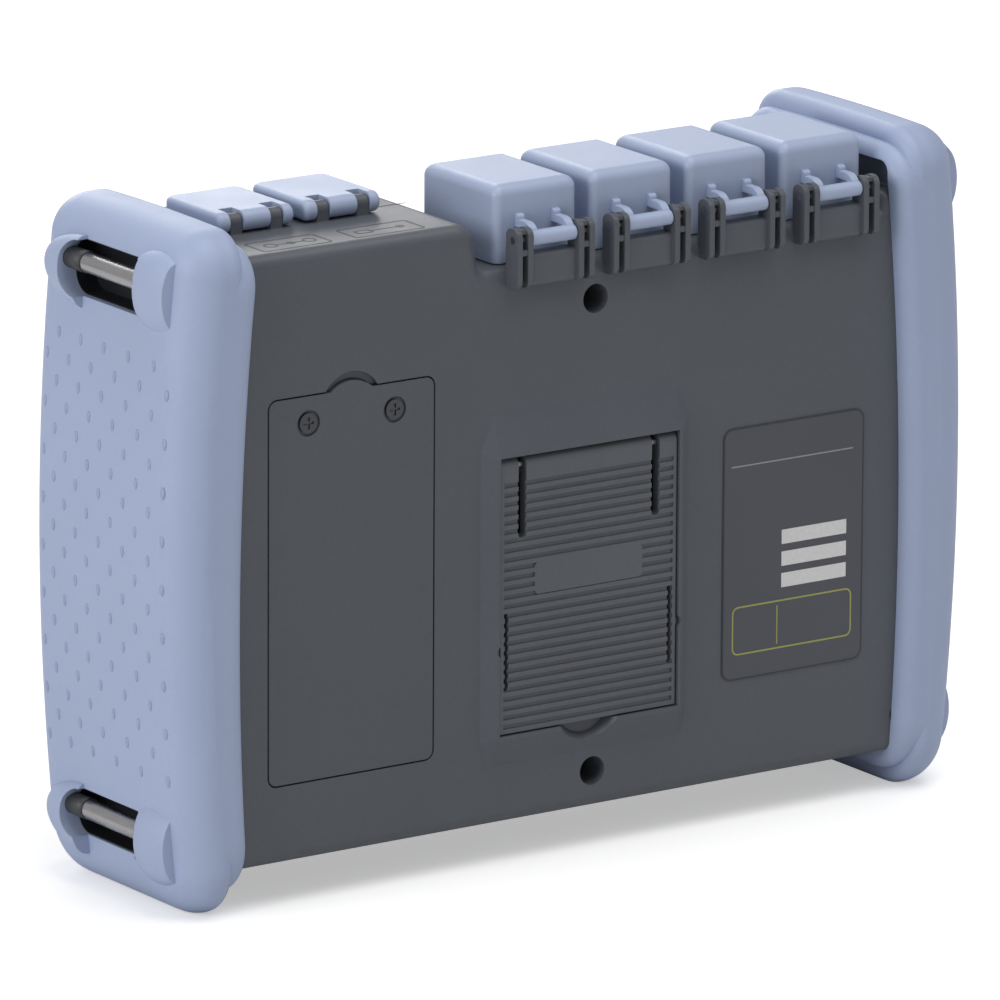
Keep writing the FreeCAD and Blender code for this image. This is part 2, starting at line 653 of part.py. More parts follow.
def socket_openings():
    """Holes in the raised top for the power jack and the data socket."""
    z = (SOCKET_SEAT_Z - OVER, CASE_TOP_Z + OVER)
    round_hole = along_z(JACK_COLLAR_R + SOCKET_CLEARANCE, SOCKET_XS[0], SOCKET_Y, z)
    wall = 2.0 * (USB_WALL + SOCKET_CLEARANCE)
    slot = box(about(SOCKET_XS[1], USB_SIZE[0] + wall), about(SOCKET_Y, USB_SIZE[1] + wall), z)
    return [round_hole, slot]


def adapter_openings():
    z = (DECK_Z - CASE_WALL - OVER, DECK_Z + OVER)
    holes = []
    for x in PORT_XS:
        holes.append(along_z(ADAPTER_BARREL_R + ADAPTER_BORE_GAP, x, PORT_Y, z))
        for side in (-1, 1):
            holes.append(along_z(FLANGE_SCREW_R + SEAT_GAP, x + side * FLANGE_SCREW_X, PORT_Y, z))
    return holes


def make_rear_casing(shell):
    rear = shell.common(box((-WIDTH, WIDTH), (SPLIT_Y, DEPTH), (-OVER, 2.0 * HEIGHT)))
    adds = [plinth(), stand_backing(), bay_walls()]
    for x, z in screw_places():
        adds.append(along_y(CASE_WELL_R + CASE_BOSS_WALL, x, (SPLIT_Y, CASE_BACK_Y - ROOT), z))
    for x in PORT_XS:
        adds += hinge_bracket(x)
    for x in SOCKET_XS:
        adds += socket_posts(x)
    rear = fuse([rear] + adds)

    opening = CASE_BACK_Y + OVER
    cuts = [stand_pocket(), stand_scoop(), bay_space(),
            door_outline(PANEL_GAP, (DOOR_SEAT_Y, opening), DOOR_TAB_RISE, DOOR_TAB_HALF),
            door_outline(0.0, (CASE_BACK_Y - DOOR_SCOOP_DEPTH, opening), DOOR_SCOOP_RISE,
                         DOOR_SCOOP_HALF)]
    for x, z in screw_places():
        cuts.append(along_y(CASE_WELL_R, x, (CASE_WELL_FLOOR_Y, opening), z))
        cuts.append(along_y(SCREW_SHANK_R + FIT_GAP, x, (SPLIT_Y - OVER, CASE_WELL_FLOOR_Y), z))
    cuts += [hinge_pin(x, SEAT_GAP, OVER) for x in PORT_XS]
    cuts.append(stand_pin(SEAT_GAP, STAND_PIN_SEAT))
    cuts += adapter_openings()
    rear = fuse([cut(rear, cuts)] + door_bosses())
    holes = [low_pin(x, SEAT_GAP) for x in SOCKET_XS]
    for x in DOOR_SCREW_XS:
        holes.append(along_y(SCREW_SHANK_R, x, (DOOR_SEAT_Y - SCREW_GRIP, DOOR_SEAT_Y + OVER),
                             DOOR_SCREW_Z))
    return cut(rear, holes)


def make_front_casing(shell):
    front = shell.common(box((-WIDTH, WIDTH), (-DEPTH, SPLIT_Y), (-OVER, 2.0 * HEIGHT)))
    root_y = CASE_INNER_FRONT_Y - ROOT
    adds = [along_y(FRONT_BOSS_R, x, (root_y, SPLIT_Y), z) for x, z in screw_places()]
    adds += [along_y(PANEL_POST_R, x, (root_y, PANEL_BACK_Y), z) for x, z in standoff_places()]
    adds += [along_y(KEY_POST_R, x, (root_y, KEY_BOARD_Y[0]), z) for x, z in key_board_posts()]
    front = fuse([front] + adds)
    wall_y = (CASE_FRONT_Y - OVER, CASE_INNER_FRONT_Y + OVER)
    cuts = [along_y(SCREW_SHANK_R, x, (SPLIT_Y - SCREW_GRIP, SPLIT_Y + OVER), z)
            for x, z in screw_places()]
    cuts.append(glass_outline(PANEL_GAP / 2.0, (CASE_FRONT_Y - OVER, CASE_FRONT_Y + GLASS_THICK)))
    cuts.append(box((GLASS_X[0] + WINDOW_MARGIN, GLASS_X[1] - WINDOW_MARGIN), wall_y,
                    (GLASS_Z[0] + WINDOW_MARGIN, GLASS_Z[1] - WINDOW_MARGIN)))
    cuts += list(key_outlines(PANEL_GAP / 2.0, wall_y).values())
    cuts += [along_y(LAMP_R + SEAT_GAP, x, wall_y, LAMP_Z) for x in lamp_places()]
    cuts += socket_openings()
    cuts += adapter_openings()
    return cut(front, cuts)


# ---------------------------------------------------------------- bumpers
def bumper_prism(foot, top):
    """The bumpers' outline seen along X, between the heights of its foot and top."""
    form = box((0, BUMPER_FACE_X), (-BUMPER_BACK_Y, BUMPER_BACK_Y), (foot, top))
    crown = BUMPER_CROWN_R
    form = form.common(along_x(crown, (0, WIDTH), 0, top - crown))
    form = form.common(along_x(crown, (0, WIDTH), 0, crown + foot - BASE_CROWN_DROP))
    foot_r, top_r = BUMPER_CORNER_R
    form = round_along(form, foot_r, X_AXIS, lambda c: c.z < MID_Z)
    return round_along(form, top_r, X_AXIS, lambda c: c.z > MID_Z)


def bow_side(step):
    """Everything on the inner side of the bumpers' bowed inner edge, moved out by the step."""
    return along_y(BOW_R, BUMPER_BOW_X + step, (-DEPTH, DEPTH), BUMPER_BOW_Z)


def bow_edges(form, step):
    found = []
    for edge in form.Edges:
        spans = [math.hypot(v.X - BUMPER_BOW_X - step, v.Z - BUMPER_BOW_Z) for v in edge.Vertexes]
        if max(spans) < BOW_R + TINY and min(spans) > BOW_R - TINY:
            found.append(edge)
    return found


def bumper_form():
    """Outer form of the bumper on the +X side, crowned and rounded, still solid."""
    body = bumper_prism(-BASE_CUT, HEIGHT)
    body = body.common(along_y(FACE_CROWN_R, BUMPER_FACE_X - FACE_CROWN_R, (-DEPTH, DEPTH), MID_Z))
    outer = []
    for edge in body.Edges:
        b = edge.BoundBox
        if b.XMin > BUMPER_FACE_X - BUMPER_OUTER_R and b.XLength < BUMPER_OUTER_R / 2.0 + ROOT:
            outer.append(edge)
    body = body.makeFillet(BUMPER_OUTER_R, outer)
    body = body.cut(bow_side(BUMPER_SKIRT))
    body = body.makeFillet(BUMPER_SHOULDER_R, bow_edges(body, BUMPER_SKIRT))
    body = body.common(box((0, WIDTH), (-DEPTH, DEPTH), (0, HEIGHT + OVER)))
    skirt = bumper_prism(BUMPER_SKIRT_DROP, HEIGHT - BUMPER_SKIRT_DROP)
    skirt = skirt.common(bow_side(BUMPER_SKIRT + BUMPER_SHOULDER_R + ROOT)).cut(bow_side(0.0))
    form = fuse([body, skirt])
    return form.makeFillet(BUMPER_LIP_R, bow_edges(form, 0.0))


def anchor_ear(out, y, end_y, z, half):
    """A dome that holds one end of a strap pin, with a flat end that faces +Y."""
    scale = FreeCAD.Matrix()
    scale.scale(*half)
    scale.move(Vector(BUMPER_FACE_X + out - half[0], y, z))
    dome = Part.makeSphere(1.0).transformGeometry(scale)
    return dome.common(box((0, WIDTH), (-DEPTH, end_y), (z - HEIGHT, z + HEIGHT)))


def anchor_ears(z):
    return [anchor_ear(REAR_EAR_OUT, REAR_EAR_Y, REAR_EAR_END_Y, z - REAR_EAR_DROP, REAR_EAR_HALF),
            anchor_ear(FRONT_EAR_OUT, FRONT_EAR_Y, FRONT_EAR_END_Y, z - FRONT_EAR_DROP,
                       FRONT_EAR_HALF)]


def anchor_slot(z, below, above):
    slot = box((CASE_HALF_WIDTH, BUMPER_FACE_X + OVER + FRONT_EAR_OUT), ANCHOR_SLOT_Y,
               (z - below, z + above))
    return round_along(slot, ANCHOR_SLOT_R, X_AXIS, lambda c: c.y < ANCHOR_SLOT_Y[0] + TINY)


def anchor_pin(z, gap):
    y = (ANCHOR_SLOT_Y[0] - ANCHOR_PIN_SEAT, ANCHOR_SLOT_Y[1] + ANCHOR_PIN_SEAT)
    return along_y(ANCHOR_PIN_R + gap, ANCHOR_PIN_X, y, z)


def make_bumper():
    ears = []
    for z in ANCHOR_ZS:
        ears += anchor_ears(z)
    form = fuse([bumper_form()] + ears)
    cuts = [case_block()] + [anchor_pin(z, SEAT_GAP) for z in ANCHOR_ZS]
    cuts += [anchor_slot(*place) for place in zip(ANCHOR_ZS, ANCHOR_SLOT_BELOW, ANCHOR_SLOT_ABOVE)]
    return cut(form, cuts)


# ---------------------------------------------------------------- stand
def stand_pin(gap, seat):
    return along_x(STAND_PIN_R + gap, about(STAND_X, 2.0 * (STAND_POCKET_HALF + seat)),
                   STAND_AXIS_Y, STAND_AXIS_Z)


def make_stand():
    """Ribbed flap with its hinge barrel, slots, blank plate and sprung side detents."""
    x = about(STAND_X, STAND_WIDTH)
    back_y = STAND_FACE_Y - STAND_THICKNESS
    through = (back_y - OVER, STAND_FACE_Y + OVER)
    flap = [box(x, (back_y, STAND_FACE_Y), (STAND_BOTTOM_Z, STAND_AXIS_Z)),
            along_x(STAND_BARREL_R, x, STAND_AXIS_Y, STAND_AXIS_Z)]
    for side in (-1, 1):
        flap.append(along_y(DETENT_R, detent_x(side, DETENT_R),
                            (back_y, STAND_FACE_Y - STAND_RIB_DEPTH), STAND_BOTTOM_Z + DETENT_RISE))
    flap = fuse(flap)

    grooves = []
    groove_x = about(STAND_X, STAND_WIDTH - 2.0 * STAND_RIB_MARGIN)
    groove_y = (STAND_FACE_Y - STAND_RIB_DEPTH, STAND_FACE_Y + OVER)
    count = int((STAND_AXIS_Z - STAND_BARREL_R - STAND_BOTTOM_Z) / STAND_RIB_PITCH)
    for i in range(count):
        z = STAND_BOTTOM_Z + STAND_RIB_PITCH * (i + 0.5)
        grooves.append(box(groove_x, groove_y, (z, z + STAND_RIB_PITCH / 2.0)))
    plate = rounded_box(about(STAND_X, PLATE_WIDTH), (STAND_FACE_Y - STAND_RIB_DEPTH, STAND_FACE_Y),
                        about(STAND_BOTTOM_Z + PLATE_RISE, PLATE_HEIGHT), STAND_RIB_PITCH / 2.0, Y_AXIS)
    flap = fuse([cut(flap, grooves), plate])

    cuts = [stand_pin(PIN_GAP, OVER)]
    slot_z = (STAND_AXIS_Z - STAND_SLOT_LENGTH, STAND_AXIS_Z + STAND_BARREL_R + OVER)
    slit_z = (STAND_BOTTOM_Z + FLEXURE_RISE, STAND_BOTTOM_Z + FLEXURE_RISE + FLEXURE_LENGTH)
    for side in (-1, 1):
        slot = box(about(STAND_X + side * STAND_SLOT_X, STAND_SLOT_WIDTH), through, slot_z)
        cuts.append(round_along(slot, STAND_SLOT_WIDTH * ALMOST_HALF, Y_AXIS,
                                lambda c: c.z < slot_z[0] + TINY))
        slit = box(about(STAND_X + side * FLEXURE_X, FLEXURE_WIDTH), through, slit_z)
        cuts.append(round_along(slit, FLEXURE_WIDTH * ALMOST_HALF, Y_AXIS))
    return cut(flap, cuts)


# ---------------------------------------------------------------- port caps
def make_port_cap(x):
    """Hollow dust cap with two hooked arms and a hinge barrel."""
    x_span = about(x, CAP_WIDTH)
    shell = round_along(box(x_span, CAP_Y, (CAP_FOOT_Z, CAP_TOP_Z)), CAP_SIDE_R, Z_AXIS)
    top = [e for e in shell.Edges if e.BoundBox.ZMin > CAP_TOP_Z - TINY]
    shell = shell.makeFillet(CAP_TOP_R, top)
    hollow = box(about(x, CAP_WIDTH - 2.0 * CAP_WALL), (CAP_Y[0] + CAP_WALL, CAP_Y[1] - CAP_WALL),
                 (CAP_FOOT_Z - OVER, CAP_TOP_Z - CAP_WALL))
    pieces = [shell.cut(hollow)]
    bend_y = HINGE_Y - ARM_BEND_R
    arm_z = HINGE_Z + ARM_BEND_R
    half = ARM_THICK / 2.0
    root_y = CAP_Y[1] - CAP_WALL / 2.0
    for side in (-1, 1):
        span = about(x + side * ARM_X, ARM_WIDTH)
        straight = box(span, (root_y, bend_y), (arm_z - half, arm_z + half))
        ring = along_x(ARM_BEND_R + half, span, bend_y, HINGE_Z)
        ring = ring.cut(along_x(ARM_BEND_R - half, span, bend_y, HINGE_Z))
        reach = ARM_BEND_R + ARM_THICK
        quarter = ring.common(box(span, (bend_y, bend_y + reach), (HINGE_Z, HINGE_Z + reach)))
        pad_y = CAP_Y[1] + ARM_PAD[0]
        pad = box(span, (root_y, pad_y), (arm_z - half, arm_z + ARM_PAD[1]))
        pad = round_along(pad, half, X_AXIS, lambda c: c.y > pad_y - TINY and c.z > arm_z + half)
        pieces += [straight, quarter, pad]
    barrel = about(x, 2.0 * (BRACKET_INNER_X - FIT_GAP))
    pieces.append(along_x(HINGE_BARREL_R, barrel, HINGE_Y, HINGE_Z))
    return fuse(pieces).cut(hinge_pin(x, PIN_GAP, OVER))


# ---------------------------------------------------------------- electrical sockets
def make_socket_cap(x):
    """Low cap: a rounded slab with a barrel at its rear edge, notched for two posts."""
    x_span = about(x, LOW_CAP_WIDTH)
    r = LOW_CAP_THICK / 2.0
    slab = box(x_span, (LOW_CAP_FRONT_Y, LOW_CAP_AXIS_Y), (LOW_CAP_FOOT_Z, LOW_CAP_TOP_Z))
    slab = round_along(slab, LOW_CAP_CORNER_R, Z_AXIS, lambda c: c.y < LOW_CAP_FRONT_Y + TINY)
    cap = fuse([slab, along_x(r, x_span, LOW_CAP_AXIS_Y, LOW_CAP_AXIS_Z)])
    rim = []
    for edge in cap.Edges:
        b = edge.BoundBox
        if b.ZMin > LOW_CAP_TOP_Z - TINY and b.YMin < LOW_CAP_AXIS_Y - OVER:
            rim.append(edge)
    cap = cap.makeFillet(LOW_CAP_EDGE_R, rim)
    inner_y = LOW_CAP_AXIS_Y - r - LOW_CAP_RIM
    cuts = [box(about(x, LOW_CAP_WIDTH - 2.0 * LOW_CAP_RIM), (LOW_CAP_FRONT_Y + LOW_CAP_RIM, inner_y),
                (LOW_CAP_FOOT_Z - OVER, LOW_CAP_FOOT_Z + LOW_CAP_RECESS))]
    for side in (-1, 1):
        cuts.append(box(about(x + side * POST_X, POST_WIDTH + 2.0 * FIT_GAP),
                        (LOW_CAP_AXIS_Y - r - ROOT, LOW_CAP_AXIS_Y + r + OVER),
                        (LOW_CAP_FOOT_Z - OVER, LOW_CAP_TOP_Z + OVER)))
    cuts.append(low_pin(x, PIN_GAP))
    return cut(cap, cuts)


def power_jack():
    x = SOCKET_XS[0]
    mouth_z = CASE_TOP_Z - SOCKET_SINK
    floor_z = mouth_z - JACK_BORE_DEPTH
    body = box(about(x, JACK_SIZE), about(SOCKET_Y, JACK_SIZE), (SOCKET_SEAT_Z - JACK_LENGTH, SOCKET_SEAT_Z))
    collar = along_z(JACK_COLLAR_R, x, SOCKET_Y, (SOCKET_SEAT_Z - ROOT, mouth_z))
    body = fuse([body, collar]).cut(along_z(JACK_BORE_R, x, SOCKET_Y, (floor_z, mouth_z + OVER)))
    pin = along_z(JACK_PIN_R, x, SOCKET_Y, (floor_z - ROOT, mouth_z - JACK_PIN_SINK))
    return fuse([body, pin])


def data_socket():
    x = SOCKET_XS[1]
    mouth_z = CASE_TOP_Z - SOCKET_SINK
    floor_z = mouth_z - USB_DEPTH
    width, height = USB_SIZE
    bore = box(about(x, width), about(SOCKET_Y, height), (floor_z, mouth_z + OVER))
    shell = box(about(x, width + 2.0 * USB_WALL), about(SOCKET_Y, height + 2.0 * USB_WALL),
                (floor_z - USB_WALL, mouth_z))
    flange = box(about(x, width + 2.0 * USB_FLANGE), about(SOCKET_Y, height + 2.0 * USB_FLANGE),
                 (SOCKET_SEAT_Z - USB_WALL, SOCKET_SEAT_Z))
    tongue = box(about(x, width - 2.0 * USB_WALL),
                 (SOCKET_Y + height / 2.0 - USB_WALL - USB_TONGUE, SOCKET_Y + height / 2.0 - USB_WALL),
                 (floor_z - ROOT, mouth_z - USB_TONGUE_SINK))
    return fuse([fuse([shell, flange]).cut(bore), tongue])


# ---------------------------------------------------------------- optical ports
def make_adapter(x):
    width, depth, thick = ADAPTER_FLANGE
    flange_top = DECK_Z + thick
    flange = rounded_box(about(x, width), about(PORT_Y, depth), (DECK_Z, flange_top), FLANGE_R, Z_AXIS)
    foot_z = DECK_Z - ADAPTER_TAIL
    top_z = DECK_Z + ADAPTER_RISE
    mouth_z = DECK_Z + ADAPTER_MOUTH_FLOOR
    body = fuse([flange, along_z(ADAPTER_BARREL_R, x, PORT_Y, (foot_z, top_z))])
    cuts = [along_z(ADAPTER_MOUTH_R, x, PORT_Y, (mouth_z, top_z + OVER)),
            along_z(FERRULE_R + SLEEVE_WALL, x, PORT_Y, (SLEEVE_LOW_Z, mouth_z + OVER)),
            along_z(FIBRE_BORE_R, x, PORT_Y, (foot_z - OVER, SLEEVE_LOW_Z + OVER))]
    for side in (-1, 1):
        cuts.append(along_z(FLANGE_SCREW_R + SEAT_GAP, x + side * FLANGE_SCREW_X, PORT_Y,
                            (DECK_Z - OVER, flange_top + OVER)))
    return cut(body, cuts)


def ferrule_sleeve(x):
    tube = along_z(FERRULE_R + SLEEVE_WALL, x, PORT_Y, (SLEEVE_LOW_Z, SLEEVE_TOP_Z))
    return tube.cut(along_z(FERRULE_R, x, PORT_Y, (SLEEVE_LOW_Z - OVER, SLEEVE_TOP_Z + OVER)))


def flange_screws():
    screws = []
    head_r, head_h = FLANGE_HEAD
    head_z = DECK_Z + ADAPTER_FLANGE[2]
    for x in PORT_XS:
        for side in (-1, 1):
            sx = x + side * FLANGE_SCREW_X
            shank = along_z(FLANGE_SCREW_R, sx, PORT_Y, (DECK_Z - CASE_WALL, head_z))
            screws.append(fuse([shank, along_z(head_r, sx, PORT_Y, (head_z, head_z + head_h))]))
    return screws


# ---------------------------------------------------------------- battery bay
def make_door():
    door = door_outline(0.0, (DOOR_SEAT_Y, CASE_BACK_Y), DOOR_TAB_RISE, DOOR_TAB_HALF)
    well_y = DOOR_SEAT_Y + DOOR_SCREW_FLOOR
    cuts = []
    for x in DOOR_SCREW_XS:
        cuts.append(along_y(DOOR_SCREW_WELL_R, x, (well_y, CASE_BACK_Y + OVER), DOOR_SCREW_Z))
        cuts.append(along_y(SCREW_SHANK_R + FIT_GAP, x, (DOOR_SEAT_Y - OVER, well_y + OVER), DOOR_SCREW_Z))
    return cut(door, cuts)


def cross_screw(x, z, seat_y, tip_y, head_h):
    """A screw along Y with a cross recess; its head faces +Y."""
    top = seat_y + head_h
    half, slit, depth = SCREW_CROSS
    depth = min(depth, head_h / 2.0)
    screw = fuse([along_y(SCREW_HEAD_R, x, (seat_y, top), z),
                  along_y(SCREW_SHANK_R - SEAT_GAP, x, (tip_y, seat_y), z)])
    recess = (top - depth, top + OVER)
    return cut(screw, [box(about(x, 2.0 * half), recess, about(z, 2.0 * slit)),
                       box(about(x, 2.0 * slit), recess, about(z, 2.0 * half))])


def case_screws():
    tip_y = SPLIT_Y - SCREW_GRIP + OVER
    return [cross_screw(x, z, CASE_WELL_FLOOR_Y, tip_y, SCREW_HEAD_H) for x, z in screw_places()]


def door_screws():
    seat_y = DOOR_SEAT_Y + DOOR_SCREW_FLOOR
    tip_y = DOOR_SEAT_Y - SCREW_GRIP + OVER
    return [cross_screw(x, DOOR_SCREW_Z, seat_y, tip_y, CASE_BACK_Y - seat_y) for x in DOOR_SCREW_XS]


BATTERY_TOP_Z = DOOR_SCREW_Z - DOOR_BOSS_R - CONTACT_SIZE[2] - FIT_GAP


def make_battery():
    return rounded_box(about(DOOR_X, DOOR_WIDTH - 2.0 * (DOOR_LEDGE + BATTERY_CLEARANCE)),
                       (BAY_FLOOR_Y + FIT_GAP, DOOR_SEAT_Y - BATTERY_CLEARANCE),
                       (DOOR_Z[0] + DOOR_LEDGE + FIT_GAP, BATTERY_TOP_Z), BATTERY_CORNER_R, Z_AXIS)


def battery_contacts():
    """Contact block on the bay floor above the pack, with four blades."""
    width, depth, height = CONTACT_SIZE
    blade, tall = CONTACT_BLADE
    z = BATTERY_TOP_Z + FIT_GAP
    pieces = [box(about(DOOR_X, width), (BAY_FLOOR_Y, BAY_FLOOR_Y + depth), (z, z + height))]
    for i in range(4):
        x = DOOR_X + (i - 1.5) * CONTACT_PITCH
        pieces.append(box(about(x, blade), (BAY_FLOOR_Y + depth - ROOT, BAY_FLOOR_Y + depth + OVER),
                          about(z + height / 2.0, tall)))
    return fuse(pieces)


# ---------------------------------------------------------------- front and inside
def glass_outline(grow, y):
    return rounded_box((GLASS_X[0] - grow, GLASS_X[1] + grow), y,
                       (GLASS_Z[0] - grow, GLASS_Z[1] + grow), GLASS_CORNER_R, Y_AXIS)


def display_panel():
    return box((GLASS_X[0] + PANEL_MARGIN, GLASS_X[1] - PANEL_MARGIN), (CASE_INNER_FRONT_Y, PANEL_BACK_Y),
               (GLASS_Z[0] + PANEL_MARGIN, GLASS_Z[1] - PANEL_MARGIN))


def standoff_places():
    """Posts of the main board, clear of the display panel above and below it."""
    edge_x = BOARD_HALF_WIDTH - STANDOFF_INSET
    low_z = BOARD_Z[0] + STANDOFF_RISE
    high_z = BOARD_Z[1] - STANDOFF_RISE
    return [(-edge_x, low_z), (-edge_x, high_z), (STANDOFF_MID_X, low_z), (STANDOFF_MID_X, high_z),
            (edge_x, low_z)]


def standoffs():
    return [along_y(STANDOFF_R, x, (PANEL_BACK_Y, BOARD_FRONT_Y), z) for x, z in standoff_places()]


def main_board():
    return box((-BOARD_HALF_WIDTH, BOARD_HALF_WIDTH), (BOARD_FRONT_Y, BOARD_BACK_Y), BOARD_Z)


def optical_module():
    return rounded_box(MODULE_X, (BOARD_BACK_Y, BOARD_BACK_Y + MODULE_THICK), MODULE_Z,
                       MODULE_CORNER_R, Y_AXIS)


def key_centres():
    ring = (NAV_R[0] + NAV_R[1]) / 2.0
    small_z = NAV_Z - SMALL_KEY_DROP
    return {"key_power": (KEY_X, NAV_Z + POWER_KEY_RISE), "key_start": (KEY_X, NAV_Z + START_KEY_RISE),
            "key_enter": (KEY_X, NAV_Z), "key_up": (KEY_X, NAV_Z + ring),
            "key_down": (KEY_X, NAV_Z - ring), "key_left": (KEY_X - ring, NAV_Z),
            "key_right": (KEY_X + ring, NAV_Z), "key_menu": (KEY_X - SMALL_KEY_X, small_z),
            "key_back": (KEY_X + SMALL_KEY_X, small_z)}


def nav_sector(dx, dz, grow, y):
    """A quarter of the navigation ring, centred on the direction (dx, dz)."""
    ring = along_y(NAV_R[1] + grow, KEY_X, y, NAV_Z).cut(along_y(NAV_R[0] - grow, KEY_X, y, NAV_Z))
    direction = math.atan2(dz, dx)
    half = math.radians(45.0)
    setback = (NAV_SETBACK - grow) / math.sin(half)
    reach = 2.0 * NAV_R[1]
    corner = Vector(KEY_X + setback * math.cos(direction), y[0], NAV_Z + setback * math.sin(direction))
    points = [corner]
    for angle in (direction - half, direction + half):
        points.append(corner + Vector(reach * math.cos(angle), 0, reach * math.sin(angle)))
    return ring.common(prism(points, Vector(0, y[1] - y[0], 0)))


def key_outlines(grow, y):
    """Each key's outline as a prism, grown by a gap."""
    found = {}
    round_keys = {"key_power": POWER_KEY_R, "key_enter": ENTER_R}
    bar_keys = {"key_start": START_KEY, "key_menu": SMALL_KEY, "key_back": SMALL_KEY}
    for name, (x, z) in key_centres().items():
        if name in round_keys:
            found[name] = along_y(round_keys[name] + grow, x, y, z)
        elif name in bar_keys:
            width, height = bar_keys[name]
            found[name] = rounded_box(about(x, width + 2.0 * grow), y, about(z, height + 2.0 * grow),
                                      KEY_CORNER_R, Y_AXIS)
        else:
            found[name] = nav_sector(x - KEY_X, z - NAV_Z, grow, y)
    return found


def make_keys():
    """Key caps with a retaining flange behind the front wall and a plunger."""
    front_y = CASE_FRONT_Y - KEY_PROUD
    caps = key_outlines(0.0, (front_y, KEY_FLANGE_Y[1]))
    flanges = key_outlines(KEY_FLANGE, KEY_FLANGE_Y)
    plunger_y = (KEY_FLANGE_Y[0], KEY_FLANGE_Y[1] + KEY_PLUNGER)
    keys = {}
    for name, (x, z) in key_centres().items():
        rim = [e for e in caps[name].Edges if e.BoundBox.YMax < front_y + TINY]
        cap = caps[name].makeChamfer(KEY_EDGE_R, rim)
        keys[name] = fuse([cap, flanges[name], along_y(KEY_PLUNGER_R, x, plunger_y, z)])
    return keys


def key_board_posts():
    margin = 2.0 * KEY_POST_R
    return [(x, z) for x in (KEY_X - KEY_POST_X, KEY_X + KEY_POST_X)
            for z in (KEY_BOARD_Z[0] + margin, LAMP_Z - margin)]


def key_board():
    board = box(about(KEY_X, 2.0 * KEY_BOARD_HALF), KEY_BOARD_Y, KEY_BOARD_Z)
    dome_y = (DOME_TOP_Y, KEY_BOARD_Y[0] + ROOT)
    return fuse([board] + [along_y(DOME_R, x, dome_y, z) for x, z in key_centres().values()])


def lamp_places():
    return [KEY_X + LAMP_PITCH * (i - (LAMP_COUNT - 1) / 2.0) for i in range(LAMP_COUNT)]


def lamps():
    return [along_y(LAMP_R, x, (CASE_FRONT_Y - LAMP_PROUD, KEY_BOARD_Y[0]), LAMP_Z)
            for x in lamp_places()]


def rating_label():
    return rounded_box(LABEL_X, (CASE_BACK_Y, CASE_BACK_Y + LABEL_THICK), LABEL_Z, LABEL_CORNER_R, Y_AXIS)


def seam_gasket():
    """Sealing cord in the joint between the casings, all round inside their walls."""
    slab = box((-WIDTH, WIDTH), about(SPLIT_Y, GASKET_WIDTH), (0, HEIGHT))
    cord = case_cavity(0.0).common(slab).cut(case_cavity(GASKET_WIDTH))
    return cut(cord, [along_y(CASE_WELL_R + CASE_BOSS_WALL + FIT_GAP, x,
                              about(SPLIT_Y, 2.0 * GASKET_WIDTH), z) for x, z in screw_places()])


# ---------------------------------------------------------------- write the parts
def export_group(name, solids):
    export(name, Part.makeCompound(solids))


def main():
    os.makedirs("parts", exist_ok=True)
    shell = case_outer().cut(case_cavity(0.0))
    export("rear_casing", make_rear_casing(shell))
    export("front_casing", make_front_casing(shell))
    bumper = make_bumper()
    export("left_bumper", bumper)
    export("right_bumper", mirrored_x(bumper))
    pins = [anchor_pin(z, 0.0) for z in ANCHOR_ZS]
    export_group("strap_pins", pins + [mirrored_x(p) for p in pins])
    export("stand_flap", make_stand())
    export("stand_pin", stand_pin(0.0, STAND_PIN_SEAT))
    for i, x in enumerate(PORT_XS):
        export("port_cap_%d" % (i + 1), make_port_cap(x))
        export("optical_adapter_%d" % (i + 1), make_adapter(x))
    export_group("port_cap_pins", [hinge_pin(x, 0.0, 0.0) for x in PORT_XS])
    export_group("ferrule_sleeves", [ferrule_sleeve(x) for x in PORT_XS])
    export_group("adapter_screws", flange_screws())
    for i, x in enumerate(SOCKET_XS):
        export("socket_cap_%d" % (i + 1), make_socket_cap(x))
    export_group("socket_cap_pins", [low_pin(x, 0.0) for x in SOCKET_XS])
    export("power_jack", power_jack())
    export("data_socket", data_socket())
    export("battery_door", make_door())
    export_group("door_screws", door_screws())
    export("battery_pack", make_battery())
    export("battery_contacts", battery_contacts())
    export_group("casing_screws", case_screws())
    export("rating_label", rating_label())
    export("seam_gasket", seam_gasket())
    export("screen_glass", glass_outline(0.0, (CASE_FRONT_Y, CASE_FRONT_Y + GLASS_THICK)))
    export("display_panel", display_panel())
    export("main_board", main_board())
    export_group("board_standoffs", standoffs())
    export("optical_module", optical_module())
    export("key_board", key_board())
    for name, shape in make_keys().items():
        export(name, shape)
    export_group("status_lamps", lamps())


main()
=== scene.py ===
"""Dressed model of a handheld optical time domain reflectometer, seen from behind."""
import bpy
import bmesh
import math
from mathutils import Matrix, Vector


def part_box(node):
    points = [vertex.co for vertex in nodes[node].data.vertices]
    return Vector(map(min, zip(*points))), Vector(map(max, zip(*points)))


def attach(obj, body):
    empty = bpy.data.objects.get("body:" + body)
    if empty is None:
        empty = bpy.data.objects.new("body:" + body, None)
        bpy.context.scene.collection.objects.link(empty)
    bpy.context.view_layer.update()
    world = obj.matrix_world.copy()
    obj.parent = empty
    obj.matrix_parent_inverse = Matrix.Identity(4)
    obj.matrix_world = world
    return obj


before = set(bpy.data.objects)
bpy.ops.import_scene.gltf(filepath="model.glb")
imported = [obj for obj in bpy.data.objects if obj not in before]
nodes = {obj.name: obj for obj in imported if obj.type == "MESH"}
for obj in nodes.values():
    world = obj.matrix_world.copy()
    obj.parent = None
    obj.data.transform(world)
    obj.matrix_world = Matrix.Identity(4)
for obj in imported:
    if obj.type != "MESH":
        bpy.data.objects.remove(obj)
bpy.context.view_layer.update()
MM = 0.001
Z = Vector((0.0, 0.0, 1.0))
CASING = "casing"

